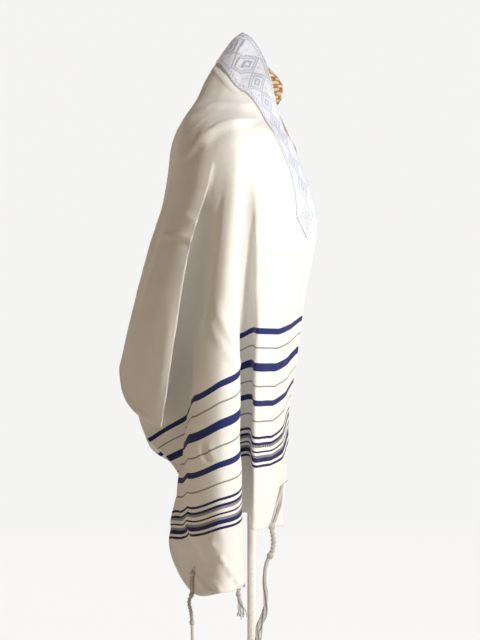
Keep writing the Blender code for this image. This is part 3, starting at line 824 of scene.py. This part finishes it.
def make_cloth(settings):
    edge = (1.2, HEM - 1.2, HEM)
    u_stops = [-CUT_LEFT, *(-CUT_LEFT + e for e in edge)]
    u_stops += [*(CUT_RIGHT - e for e in reversed(edge)), CUT_RIGHT]
    v_stops = [0, *edge, *(CUT_WIDTH - e for e in reversed(edge)), CUT_WIDTH]
    middle, normals, u, v = cloth_grid(u_stops, v_stops, settings.cell, settings)
    half = (CLOTH_WALL + (HEM_WALL - CLOTH_WALL) * hem_share(u, v)) / 2
    rim = np.minimum.reduce([CUT_RIGHT - u, u + CUT_LEFT, v, CUT_WIDTH - v])
    half = half * (0.55 + 0.45 * soft_step(rim, 0, 1.2))
    out = normals * half[:, :, None]
    mesh = shell_of("tallit_cloth", middle + out, middle - out, {"cut": cut_attribute(u, v)})
    return add_piece("tallit_cloth", mesh, wool_material(settings), "shawl_cloth")


# --- The neckband ---

BAND_LIFT = 1.1            # from the cloth's middle to the band's underside
BAND_WALL = 0.9
BAND_EDGE = 0.6            # from the cloth's edge to the band's
LOZENGE = 42               # length of one lozenge of the pattern


def lozenge(along, across, wide, high):
    """Distance from the middle of each lozenge of a row, 1 at its outline."""
    return abs((along + wide / 2) % wide - wide / 2) / (wide / 2) + abs(across) / (high / 2)


def line_at(value, place, width):
    return np.exp(-((value - place) / width) ** 2)


def band_motif(along, across):
    """How much pattern thread shows at each place: 0 is ground and 1 is thread.

    along runs from the band's middle and across from its centre line, mm.
    """
    high = BAND_WIDTH - 22
    outer = lozenge(along, across, LOZENGE, high)
    thread = line_at(outer, 0.98, 0.07) + line_at(outer, 0.70, 0.06)
    thread = thread + 0.9 * line_at(outer, 0.30, 0.12)
    between = lozenge(along + LOZENGE / 2, across, LOZENGE, high)
    for side in (-1, 1):
        scroll = across - side * (high / 2 - 5) + 4 * np.sin(2 * pi * along / 10.5)
        thread = thread + 0.8 * line_at(scroll, 0, 1.3) * (between < 0.75)
        vine = across - side * (high / 2 + 3.2) - 1.4 * np.sin(2 * pi * along / 7)
        thread = thread + 0.75 * line_at(vine, 0, 0.9)
        dashes = np.sin(2 * pi * along / 5.2) > -0.1
        thread = thread + 0.9 * line_at(across, side * (BAND_WIDTH / 2 - 3.2), 0.9) * dashes
    dots = np.cos(2 * pi * along / 5.25) * np.cos(2 * pi * across / 5.25)
    thread = thread + 0.5 * soft_step(dots, 0.55, 0.8) * (outer > 1.08)
    return np.clip(thread, 0, 1)


def make_band(settings, band):
    start, end = CUT_MIDDLE - BAND_HALF, CUT_MIDDLE + BAND_HALF
    stops = [start, start + BAND_POINT, end - BAND_POINT, end]
    edges = [BAND_EDGE, BAND_WIDTH]
    middle, normals, u, v = cloth_grid(stops, edges, band.cell, settings)
    centre = sum(edges) / 2
    spread = np.clip(np.minimum(u - start, end - u) / BAND_POINT, 0.04, 1)
    across = even_steps(edges, band.cell)
    narrow = centre + (v - centre) * spread
    middle = resampled(middle, across, narrow)
    normals = resampled(normals, across, narrow)
    v = narrow
    from_edge = np.minimum((np.minimum(u - start, end - u) + 2) * 0.68, BAND_WIDTH)
    from_edge = np.minimum(from_edge, np.minimum(v - BAND_EDGE, BAND_WIDTH - v))
    motif = band_motif(u - CUT_MIDDLE, v - centre) * soft_step(from_edge, 0.5, 2.0)
    border = np.exp(-((from_edge - 1.3) / 1.1) ** 2)
    relief = (motif * 0.5 + border * 0.7) * band.relief
    taper = soft_step(from_edge, -0.5, 1.0)[:, :, None]
    high = middle + normals * (BAND_LIFT + (BAND_WALL + relief)[:, :, None] * taper)
    low = middle + normals * BAND_LIFT
    values = {"cut": cut_attribute(u, v), "motif": np.maximum(motif, border * 0.5).ravel()}
    mesh = shell_of("tallit_band", high, low, values)
    return add_piece("tallit_band", mesh, brocade_material(band), "neckband")


def resampled(grid, across, wanted):
    """A grid's values at other places across it, row by row."""
    index, part = bracket(across, wanted)
    part = part[:, :, None]
    row = np.arange(grid.shape[0])[:, None]
    return grid[row, index] * (1 - part) + grid[row, index + 1] * part


# --- The fringes ---

# Each fringe: the hole that it comes out of and the place where it leaves the cloth, (u, v)
# on the cut, its way down from there as (x, y, drop), where its knots are along that way,
# how thick one strand is, how far the strands part above the first knot, how many groups the
# loose ends hang in and how far those spread at the last, and the solid that it stands for, mm.
Fringe = namedtuple("Fringe", "name hole rim hang knots strand part groups spread node")
FRINGES = [
    Fringe("tzitzit_right_front", (818, 40), (880, 72), [
        (2, -3, 10), (1, -4, 38), (-6, -4, 52), (-11, -3, 90), (-9, -3, 106),
        (-12, -3, 140), (-19, -3, 158), (-21, -3, 185), (-20, -3, 215)],
        [70, 118], 1.4, 3.2, 3, 5, "fringe_right_front"),
    Fringe("tzitzit_right_back", (838, 568), (880, 603), [
        (-4, -3, 12), (-1, -4, 28), (1, -4, 75), (0, -4, 130), (2, -4, 190)],
        [4, 40, 84], 1.05, 0, 2, 5, "fringe_right_back"),
    Fringe("tzitzit_left_front", (-860, 42), (-920, 84), [
        (-3, 1, 14), (-5, 2, 50), (-6, 3, 102)],
        [8, 74], 1.2, 0, 3, 5, "fringe_left_front"),
    Fringe("tzitzit_left_back", (-878, 568), (-920, 598), [
        (-2, -6.6, 8), (2, -9.8, 28), (5, -9.8, 56)],
        [6, 56], 1.2, 0, 4, 10, "fringe_left_back"),
]
STRANDS = 8
FRINGE_LIFT = 3.6          # from the cloth's middle to the bundle's, mm
FRINGE_STEP = 1.2          # between the places along a strand, mm
PLY_DEPTH = 0.35           # of the grooves between two plies, as a share of the radius


def out_of_cloth(net, spots, reach=4.0):
    """Unit vectors that point away from the wearer at spots (u, v) on the cut."""
    low, high = np.array([-CUT_LEFT, 0]), np.array([CUT_RIGHT, CUT_WIDTH])
    ends = []
    for offset in ((reach, 0), (-reach, 0), (0, reach), (0, -reach)):
        ends.append(drape(net, np.clip(spots + offset, low, high)))
    return unit(np.cross(ends[2] - ends[3], ends[0] - ends[1]))


def on_cloth(spots, lift, settings):
    """Places above the cloth's middle."""
    net = fold_net()
    plain = drape(net, spots)
    out = out_of_cloth(net, spots)
    height = cloth_lift(spots[:, 0], spots[:, 1], settings) + lift
    return plain + out * height[:, None]


def fringe_route(fringe, settings):
    """The middle of the bundle, from its hole over the hem and down."""
    hole, rim = np.array(fringe.hole, float), np.array(fringe.rim, float)
    spots = hole + np.linspace(0, 1, 8)[:, None] * (rim - hole)
    laid = on_cloth(spots, FRINGE_LIFT, settings)
    hang = np.array(fringe.hang, float) * (1, 1, -1) + laid[-1]
    return on_curve(np.concatenate([laid, hang]), FRINGE_STEP)


def fringe_parts(fringe, settings, tassel, chance):
    """The strands, the windings round them and the knots."""
    route, ways = fringe_route(fringe, settings)
    ahead = unit(np.gradient(route, axis=0))
    first = unit(np.cross(ahead, (0.1, 0.9, 0.2)))
    second = np.cross(ahead, first)
    loose = soft_step(ways, fringe.knots[-1], ways[-1])
    above = ways / fringe.knots[0]
    parts = []
    for strand in range(STRANDS):
        wander = chance.uniform(-1, 1, 4)
        angle = 2 * pi * strand / STRANDS + ways * 0.055 * (1 - loose)
        sway = np.sin(ways * 0.045 + wander[2] * 3) * wander[0] * 1.3 * loose
        group = strand % fringe.groups - (fringe.groups - 1) / 2
        apart = group * 2 * fringe.spread / fringe.groups * loose
        apart = apart + wander[3] * fringe.part * np.sin(pi * np.clip(above, 0, 1))
        bundle = fringe.strand * 1.5
        side = np.cos(angle) * bundle + apart + sway
        depth = np.sin(angle) * bundle * 0.8 + sway * 0.5
        path = route + first * side[:, None] + second * depth[:, None]
        stop = len(path) - int(abs(wander[1]) * 9)
        parts.append(tube(path[:stop], fringe.strand, 8, PLY_DEPTH, tassel.twist))
    tail = [route[0], route[0] - ahead[0] * 6 + first[0] * 2, route[0] - ahead[0] * 12]
    tail[2] = tail[2] + first[0] * 7
    parts.append(tube(on_curve(tail, FRINGE_STEP)[0], fringe.strand * 0.8, 7, PLY_DEPTH,
                      tassel.twist))
    for knot in fringe.knots:
        parts += knot_parts(route, ways, first, second, knot, fringe.strand, tassel.twist)
    for start, end in zip(fringe.knots, fringe.knots[1:]):
        parts.append(winding(route, ways, first, second, start, end, fringe.strand))
    return parts


def winding(route, ways, first, second, start, end, strand):
    """One strand wound round the others between two knots."""
    ways_fine = np.arange(start, end, 0.35)
    centre, side, depth = (np.stack([np.interp(ways_fine, ways, grid[:, k])
                                     for k in range(3)], axis=1)
                           for grid in (route, first, second))
    angle = 2 * pi * (ways_fine - start) / (strand * 4.6)
    radius = strand * 2.6
    path = centre + (side * np.cos(angle)[:, None] + depth * np.sin(angle)[:, None]) * radius
    # The winding has no grooves, but its groove values still paint two lines of shade along it in
    # the yarn material.
    return tube(path, strand * 0.8, 6)


def knot_parts(route, ways, first, second, knot, strand, twist):
    """A double knot: three turns pulled tight, the middle one fuller."""
    parts = []
    for turn, swell in ((-1, 0.9), (0, 1.15), (1, 0.9)):
        place = np.clip(np.searchsorted(ways, knot + turn * strand * 1.5), 1,
                        len(ways) - 2)
        angle = np.linspace(0, 2 * pi * 1.08, 22)
        slope = np.linspace(-0.5, 0.5, 22) * strand * 1.8
        ring = strand * 2.9 * swell
        axis = np.cross(first[place], second[place])
        path = route[place] + np.outer(np.cos(angle), first[place]) * ring
        path = path + np.outer(np.sin(angle), second[place]) * ring + np.outer(slope, axis)
        parts.append(tube(path, strand * 1.05, 7, 0.25, twist))
    return parts


def make_fringes(settings, tassel):
    material = yarn_material(tassel)
    chance = np.random.default_rng(SEED + 1)
    pieces = []
    for fringe in FRINGES:
        places, quads, grooves = joined(fringe_parts(fringe, settings, tassel, chance))
        mesh = mesh_from(fringe.name, places, quads, {"ply": grooves})
        pieces.append(add_piece(fringe.name, mesh, material, fringe.node))
    return pieces


# --- The form ---

TORSO_BOTTOM = 735
GAP = 0.3                  # between touching pieces, mm

# Sections of the torso and of the head with its neck, mm: height, middle, half depth along
# X and half width along Y. Lowest first.
Section = namedtuple("Section", "z x depth width")
TORSO = [
    Section(TORSO_BOTTOM, -22, 60, 84),
    Section(740, -22, 74, 104),
    Section(760, -22, 84, 118),
    Section(820, -24, 93, 132),
    Section(880, -26, 101, 148),
    Section(940, -26, 104, 163),
    Section(985, -27, 98, 176),
    Section(1020, -27, 88, 184),
    Section(1040, -27, 78, 181),
    Section(1056, -25, 68, 160),
    Section(1070, -20, 60, 122),
    Section(1082, -12, 54, 82),
    Section(1092, -6, 49, 56),
    Section(1100, -4, 47, 48),
]
HEAD = [
    Section(1100 + GAP, -4, 46, 46),
    Section(1112, -2, 45, 46),
    Section(1128, -4, 47, 51),
    Section(1137, -1, 51, 53),
    Section(1148, -1, 53, 54),
    Section(1160, -1, 55, 53),
    Section(1171, -3, 53, 50),
    Section(1181, -7, 49, 46),
    Section(1193, -9, 39, 38),
    Section(1206, -11, 31, 30),
    Section(1219, -13, 23.5, 21.5),
    Section(1230, -14, 16.5, 14.5),
    Section(1238.8, -15, 7.5, 6.5),
]
SQUARENESS = 2.2           # of the torso's sections; 2 is an ellipse
POLE_RADIUS = 8
BASE_HEIGHT = 20
GRAIN_REACH = 40           # how much of the cane's grain one radian round the form shows
GRAIN_SHIFT = 11.7         # from the grain of one row to that of the next
CAP_STEP = 2               # between the rings of faces on a flat end, mm


def outline_at(sections, heights, angle, power):
    """Places on the form's smooth surface, level by level."""
    rows = np.array([(s.z, s.x, s.depth, s.width) for s in sections], float)
    levels = rows[:, 0]
    middle, depth, width = smooth_between(levels, rows[:, 1:], *bracket(levels, heights)).T
    c, s = np.cos(angle), np.sin(angle)
    x = depth[:, None] * np.sign(c) * abs(c) ** (2 / power) + middle[:, None]
    y = width[:, None] * np.sign(s) * abs(s) ** (2 / power)
    return np.stack([x, y, np.broadcast_to(heights[:, None], x.shape)], axis=2)


def woven(places, rows_up, angle, form, slant, stakes):
    """Sinks a smooth surface into rows of cane that pass over and under upright stakes."""
    turn = np.broadcast_to(angle, places.shape[:2])
    count = rows_up + slant * np.cos(turn)
    number, part = np.floor(count), count % 1
    stake = turn * stakes / 2
    over = np.cos(stake + pi * number)
    round_rod = np.sqrt(np.clip(1 - (2 * part - 1) ** 2, 0, 1))
    height = form.rod * round_rod + form.sway * over
    depth = form.rod + form.sway - height
    inward = -grid_normals_closed(places)
    # lit is painted light, carried to the material in the cane attribute: full on the crown of a rod
    # that passes over a stake, weaker on a rod that passes under one, and none in the gaps between
    # rows, where shade falls.
    lit = np.clip(round_rod * (0.62 + 0.38 * over), 0, 1)
    along = turn * GRAIN_REACH + number * GRAIN_SHIFT
    cane = np.stack([lit, number, along], axis=2).reshape(-1, 3)
    return places + inward * (depth + GAP)[:, :, None], cane


def grid_normals_closed(places):
    """Outward vectors of a grid that goes right round: rows run up, columns anticlockwise."""
    up = np.gradient(places, axis=0)
    round_it = np.roll(places, -1, axis=1) - np.roll(places, 1, axis=1)
    normal = np.cross(round_it, up)
    return normal / np.maximum(np.linalg.norm(normal, axis=2, keepdims=True), 1e-9)


def weave_form(name, sections, power, columns, step, form, slant, stakes, material, node):
    """A closed piece of the form: its woven side, and a coil of cane on each flat end."""
    angle = 2 * pi * np.arange(columns) / columns
    low, high = sections[0].z, sections[-1].z
    heights = np.linspace(low, high, round((high - low) / step) + 1)
    places = outline_at(sections, heights, angle, power)
    rows_up = ((heights - low) / form.row)[:, None]
    side, cane = woven(places, rows_up, angle, form, slant, stakes)
    caps = []
    for end, up in ((0, -1), (-1, 1)):
        centre = places[end].mean(axis=0)
        reach = abs(places[end][0][0] - centre[0])
        shares = np.linspace(1, 0.02, max(4, round(reach / CAP_STEP)))
        cap = centre + (side[end] - centre) * shares[:, None, None]
        across = np.linalg.norm(places[end] - centre, axis=1)[None] * (1 - shares[:, None])
        part = (across / form.row) % 1
        rod = np.sqrt(np.clip(1 - (2 * part - 1) ** 2, 0, 1))
        cap[:, :, 2] -= up * form.rod * (1 - rod) * (shares < 1)[:, None]
        # Painted light on the end coils too: bright on the crown of each turn and on the outer ring,
        # and dark between the turns.
        lit = np.clip(rod + (shares == 1)[:, None], 0, 1)
        number = np.floor(across / form.row)
        turn = np.broadcast_to(angle, lit.shape)
        values = np.stack([lit, number, turn * GRAIN_REACH], axis=2).reshape(-1, 3)
        caps.append((cap, values))
    rows, count = side.shape[:2]
    parts = [side.reshape(-1, 3)]
    values = [cane]
    quads = [quads_of_grid(rows, count, closed=True)]
    total = rows * count
    for (cap, cap_values), flip in zip(caps, (True, False)):
        grid = quads_of_grid(len(cap), count, first=total, closed=True)
        quads.append(grid[:, ::-1] if flip else grid)
        parts.append(cap.reshape(-1, 3))
        values.append(cap_values)
        total += cap.shape[0] * count
    mesh = mesh_from(name, np.concatenate(parts), np.concatenate(quads),
                     {"cane": np.concatenate(values)})
    return add_piece(name, mesh, material, node)


# The profile of the base and its collar, from the middle of its underside out and up to the
# pole: radius and height, mm.
Turn = namedtuple("Turn", "radius z")
BASE_PROFILE = [
    Turn(0.5, 0), Turn(80, 0), Turn(158, 0), Turn(163, 0.4), Turn(164.6, 2.2), Turn(165, 4),
    Turn(165, 7.5), Turn(164.4, 9.8), Turn(162, 11.4), Turn(152, 12.6), Turn(120, 14.2),
    Turn(80, 16.2), Turn(50, 18), Turn(34, 19), Turn(24, 19.6), Turn(17, 19.8),
    Turn(15.2, 20.6), Turn(14.6, 22.4), Turn(14.4, 29), Turn(13.8, 31), Turn(12.2, 32),
    Turn(10.2, 32.3), Turn(8.4, 32.3),
]


def turned_mesh(name, profile, sides):
    angle = 2 * pi * np.arange(sides) / sides
    radius = np.array([turn.radius for turn in profile])[:, None]
    height = np.array([turn.z for turn in profile])[:, None]
    places = np.stack([radius * np.cos(angle), radius * np.sin(angle),
                       np.broadcast_to(height, (len(profile), sides))], axis=2)
    quads = quads_of_grid(len(profile), sides, closed=True)
    return mesh_from(name, places.reshape(-1, 3), quads)


# --- The stage ---

CAMERA_PLACE = (-20.4, -2600, 765)
VIEW_HEIGHT = 1088         # what the frame takes in from top to bottom at the form, mm
SENSOR = 36.0              # along the frame's long side, mm

# Lamps: place and what it is aimed at, mm, size in metres, power in watts and colour.
Lamp = namedtuple("Lamp", "name place aim size power colour")
LAMPS = [
    Lamp("key", (1700, -2100, 2000), (0, 0, 780), 0.6, 74, (1.0, 0.995, 0.985)),
    Lamp("side", (2300, -500, 1300), (0, 0, 720), 0.9, 20, (1.0, 1.0, 1.0)),
    Lamp("fill", (-2300, -1500, 1100), (0, 0, 760), 1.6, 5, (1.0, 0.82, 0.62)),
    Lamp("back", (-900, 2400, 1900), (0, 0, 800), 1.6, 22, (1.0, 0.94, 0.86)),
]


def make_lamp(lamp, share):
    light = bpy.data.lights.new(lamp.name, "AREA")
    light.shape, light.size = "DISK", lamp.size
    light.energy, light.color = lamp.power * share, lamp.colour
    place = new_object(lamp.name, light)
    place.location = Vector(lamp.place) * MM
    way = Vector(lamp.aim) - Vector(lamp.place)
    place.rotation_euler = way.to_track_quat("-Z", "Y").to_euler()


def make_camera():
    camera = bpy.data.cameras.new("camera")
    camera.sensor_width = SENSOR
    camera.lens = SENSOR * -CAMERA_PLACE[1] / VIEW_HEIGHT
    camera.clip_end = 50
    place = new_object("camera", camera)
    place.location = Vector(CAMERA_PLACE) * MM
    place.rotation_euler = (pi / 2, 0, 0)
    bpy.context.scene.camera = place


def make_floor(stage):
    """A pale floor that turns up far behind in a wide curve, all the way round."""
    far, curve, wall = 6.0, 2.0, 7.0
    profile = [Turn(0.01, 0)] + [Turn(r * 1000, 0) for r in (1, 2.5, far - curve)]
    for step in range(1, 13):
        turn = radians(90 * step / 12)
        profile.append(Turn((far - curve + curve * sin(turn)) * 1000,
                            curve * (1 - cos(turn)) * 1000))
    profile.append(Turn(far * 1000, wall * 1000))
    mesh = turned_mesh("floor", profile, 96)
    mesh.flip_normals()
    material, tree, shader = new_material("Studio floor", {"Roughness": 0.9})
    place = tree.add("ShaderNodeTexCoord").outputs["Object"]
    clouds = cloudiness(tree, place, 0.8)
    shade = tree.remap(clouds["Broad"], 0.0, 1.0, 0.985, 1.0)
    tree.feed(toned(tree, (*stage.floor, 1), shade), shader.inputs["Base Color"])
    glow = tree.add("ShaderNodeEmission", {"Color": (*stage.paper, 1), "Strength": 1.0})
    path = tree.add("ShaderNodeLightPath").outputs["Is Camera Ray"]
    share = tree.times(path, stage.paper_share)
    mixed = tree.add("ShaderNodeMixShader",
                     {0: share, 1: shader.outputs[0], 2: glow.outputs[0]})
    output = tree.nodes["Material Output"]
    tree.feed(mixed.outputs[0], output.inputs["Surface"])
    mesh.materials.append(material)
    new_object("floor", mesh)


def make_world(stage):
    world = bpy.data.worlds.new("studio")
    world.use_nodes = True
    background = world.node_tree.nodes["Background"]
    background.inputs["Color"].default_value = (*stage.air, 1)
    background.inputs["Strength"].default_value = stage.air_strength
    bpy.context.scene.world = world


# --- Settings ---

def colour_prop(name, description, default):
    return bpy.props.FloatVectorProperty(name=name, description=description, size=3,
                                         subtype="COLOR", min=0, max=1, default=default)


def number_prop(name, description, default, low, high, **more):
    return bpy.props.FloatProperty(name=name, description=description, default=default,
                                   min=low, max=high, **more)


class TallitClothSettings(bpy.types.PropertyGroup):
    """Sizes and colours of the woven cloth."""
    cell: number_prop("Cell", "Side of one face of the cloth, mm", 5.0, 3, 40)
    crease_share: number_prop("Creases", "Height of the creases, as a share of the noted one",
                              1.0, 0, 2, subtype="FACTOR")
    wave_share: number_prop("Waves", "Height of the small waves, as a share of the noted one",
                            1.0, 0, 3, subtype="FACTOR")
    wool: colour_prop("Wool", "Ground of the cloth", (0.87, 0.855, 0.815))
    blue: colour_prop("Blue", "Broad stripes", (0.012, 0.022, 0.13))
    navy: colour_prop("Navy", "Narrow stripes near the hem", (0.012, 0.016, 0.09))
    grey: colour_prop("Grey", "Thin stripes between the broad ones", (0.30, 0.30, 0.31))
    silver: colour_prop("Silver", "Metal thread beside the narrow stripes",
                        (0.48, 0.48, 0.50))


class TallitBandSettings(bpy.types.PropertyGroup):
    """Sizes and colours of the neckband."""
    cell: number_prop("Cell", "Side of one face of the band, mm", 1.25, 0.8, 20)
    relief: number_prop("Relief", "Height of the woven pattern, mm", 0.5, 0, 2)
    silk: colour_prop("Silk", "Ground of the band", (0.80, 0.83, 0.90))
    thread: colour_prop("Thread", "Pattern of the band", (0.36, 0.42, 0.58))


class TallitFringeSettings(bpy.types.PropertyGroup):
    """Sizes and colours of the fringes."""
    twist: number_prop("Twist", "Turn of the plies, radians for each mm", 1.1, 0, 4)
    yarn: colour_prop("Yarn", "The strands", (0.76, 0.745, 0.725))
    yarn_shade: colour_prop("Yarn shade", "Deep between the plies", (0.24, 0.225, 0.20))


class TallitFormSettings(bpy.types.PropertyGroup):
    """Sizes and colours of the dress form."""
    row: number_prop("Row", "Height of one row of cane, mm", 6.6, 2, 20)
    rod: number_prop("Rod", "How far a rod of cane stands out, mm", 1.7, 0, 6)
    sway: number_prop("Sway", "How far a rod moves in and out past the stakes, mm",
                      0.9, 0, 4)
    stakes: bpy.props.IntProperty(name="Stakes", description="Upright stakes round the torso",
                                  default=54, min=6, max=120)
    cane_light: colour_prop("Light cane", "Lightest rods", (0.82, 0.64, 0.42))
    cane_mid: colour_prop("Cane", "Darker rods", (0.50, 0.31, 0.15))
    # Painted shade as well as dark cane: this colour fills the gaps between the rods and the shaded
    # edges of the rods, and also darkens the cane in random patches.
    cane_dark_and_gap_shade: colour_prop("Dark cane", "Gaps between the rods", (0.14, 0.065, 0.022))
    paint: colour_prop("Paint", "Pole and base", (0.84, 0.84, 0.82))
    scuff: colour_prop("Scuffs", "Worn paint", (0.52, 0.50, 0.47))


class TallitStageSettings(bpy.types.PropertyGroup):
    """The floor and the light."""
    lamps: number_prop("Lamps", "Strength of all lamps", 1.0, 0, 10)
    floor: colour_prop("Floor", "Floor and wall", (0.80, 0.745, 0.67))
    paper: colour_prop("Paper", "How bright the floor looks", (0.985, 0.985, 0.985))
    paper_share: number_prop("Paper share", "How evenly bright the floor looks",
                             0.9, 0, 1, subtype="FACTOR")
    air: colour_prop("Air", "Light from all round", (1.0, 0.74, 0.50))
    air_strength: number_prop("Air strength", "Strength of the light from all round",
                              0.17, 0, 5)


class TallitSettings(bpy.types.PropertyGroup):
    """Everything that the operators read."""
    cloth: bpy.props.PointerProperty(type=TallitClothSettings)
    band: bpy.props.PointerProperty(type=TallitBandSettings)
    fringe: bpy.props.PointerProperty(type=TallitFringeSettings)
    form: bpy.props.PointerProperty(type=TallitFormSettings)
    stage: bpy.props.PointerProperty(type=TallitStageSettings)


# --- Operators and panel ---

class TALLIT_OT_set_stage(bpy.types.Operator):
    """Lay the floor, hang the lamps and place the camera"""
    bl_idname = "tallit.set_stage"
    bl_label = "Set Stage"

    def execute(self, context):
        stage = context.scene.tallit.stage
        make_camera()
        make_floor(stage)
        make_world(stage)
        for lamp in LAMPS:
            make_lamp(lamp, stage.lamps)
        context.scene.view_settings.view_transform = "Standard"
        return {"FINISHED"}


class TALLIT_OT_weave_form(bpy.types.Operator):
    """Weave the torso and the head of the form from cane"""
    bl_idname = "tallit.weave_form"
    bl_label = "Weave Form"

    def execute(self, context):
        form = context.scene.tallit.form
        cane = cane_material(form)
        weave_form("cane_torso", TORSO, SQUARENESS, 300, form.row / 5, form, 0, form.stakes,
                   cane, "form_torso")
        weave_form("cane_head", HEAD, 2, 150, form.row / 6, form, -1.6, form.stakes // 3,
                   cane, "form_head")
        return {"FINISHED"}


class TALLIT_OT_turn_stand(bpy.types.Operator):
    """Turn the pole and the base"""
    bl_idname = "tallit.turn_stand"
    bl_label = "Turn Stand"

    def execute(self, context):
        paint = paint_material(context.scene.tallit.form)
        base = turned_mesh("stand_base", BASE_PROFILE, 128)
        add_piece("stand_base", base, paint, "form_base")
        top = TORSO[0].z - GAP
        pole = turned_mesh("stand_pole", [
            Turn(0.2, BASE_HEIGHT + GAP), Turn(POLE_RADIUS - 0.6, BASE_HEIGHT + GAP),
            Turn(POLE_RADIUS, BASE_HEIGHT + 1), Turn(POLE_RADIUS, top - 0.6),
            Turn(POLE_RADIUS - 0.6, top), Turn(0.2, top)], 48)
        add_piece("stand_pole", pole, paint, "form_pole")
        return {"FINISHED"}


class TALLIT_OT_drape_cloth(bpy.types.Operator):
    """Drape the striped cloth over the form"""
    bl_idname = "tallit.drape_cloth"
    bl_label = "Drape Cloth"

    def execute(self, context):
        make_cloth(context.scene.tallit.cloth)
        return {"FINISHED"}


class TALLIT_OT_sew_band(bpy.types.Operator):
    """Sew the neckband along the middle of the cloth's top edge"""
    bl_idname = "tallit.sew_band"
    bl_label = "Sew Band"

    def execute(self, context):
        settings = context.scene.tallit
        band = make_band(settings.cloth, settings.band)
        return {"FINISHED"}


class TALLIT_OT_tie_fringes(bpy.types.Operator):
    """Tie a fringe through each corner"""
    bl_idname = "tallit.tie_fringes"
    bl_label = "Tie Fringes"

    def execute(self, context):
        settings = context.scene.tallit
        fringes = make_fringes(settings.cloth, settings.fringe)
        return {"FINISHED"}


class TALLIT_PT_sidebar(bpy.types.Panel):
    """The shawl's settings and operators"""
    bl_idname = "TALLIT_PT_sidebar"
    bl_label = "Tallit"
    bl_space_type = "VIEW_3D"
    bl_region_type = "UI"
    bl_category = "Tallit"

    def draw(self, context):
        settings = context.scene.tallit
        for group in (settings.cloth, settings.band, settings.fringe, settings.form,
                      settings.stage):
            box = self.layout.box()
            for key in group.__annotations__:
                box.prop(group, key)
        for operator in OPERATORS:
            self.layout.operator(operator.bl_idname)


GROUPS = (TallitClothSettings, TallitBandSettings, TallitFringeSettings, TallitFormSettings,
          TallitStageSettings, TallitSettings)
OPERATORS = (TALLIT_OT_set_stage, TALLIT_OT_weave_form, TALLIT_OT_turn_stand,
             TALLIT_OT_drape_cloth, TALLIT_OT_sew_band, TALLIT_OT_tie_fringes)
CLASSES = (*GROUPS, *OPERATORS, TALLIT_PT_sidebar)


def register():
    for kind in CLASSES:
        bpy.utils.register_class(kind)
    bpy.types.Scene.tallit = bpy.props.PointerProperty(type=TallitSettings)


def unregister():
    del bpy.types.Scene.tallit
    for kind in reversed(CLASSES):
        bpy.utils.unregister_class(kind)


def main():
    register()
    bpy.ops.tallit.set_stage()
    bpy.ops.tallit.weave_form()
    bpy.ops.tallit.turn_stand()
    bpy.ops.tallit.drape_cloth()
    bpy.ops.tallit.sew_band()
    bpy.ops.tallit.tie_fringes()


if __name__ == "__main__":
    main()
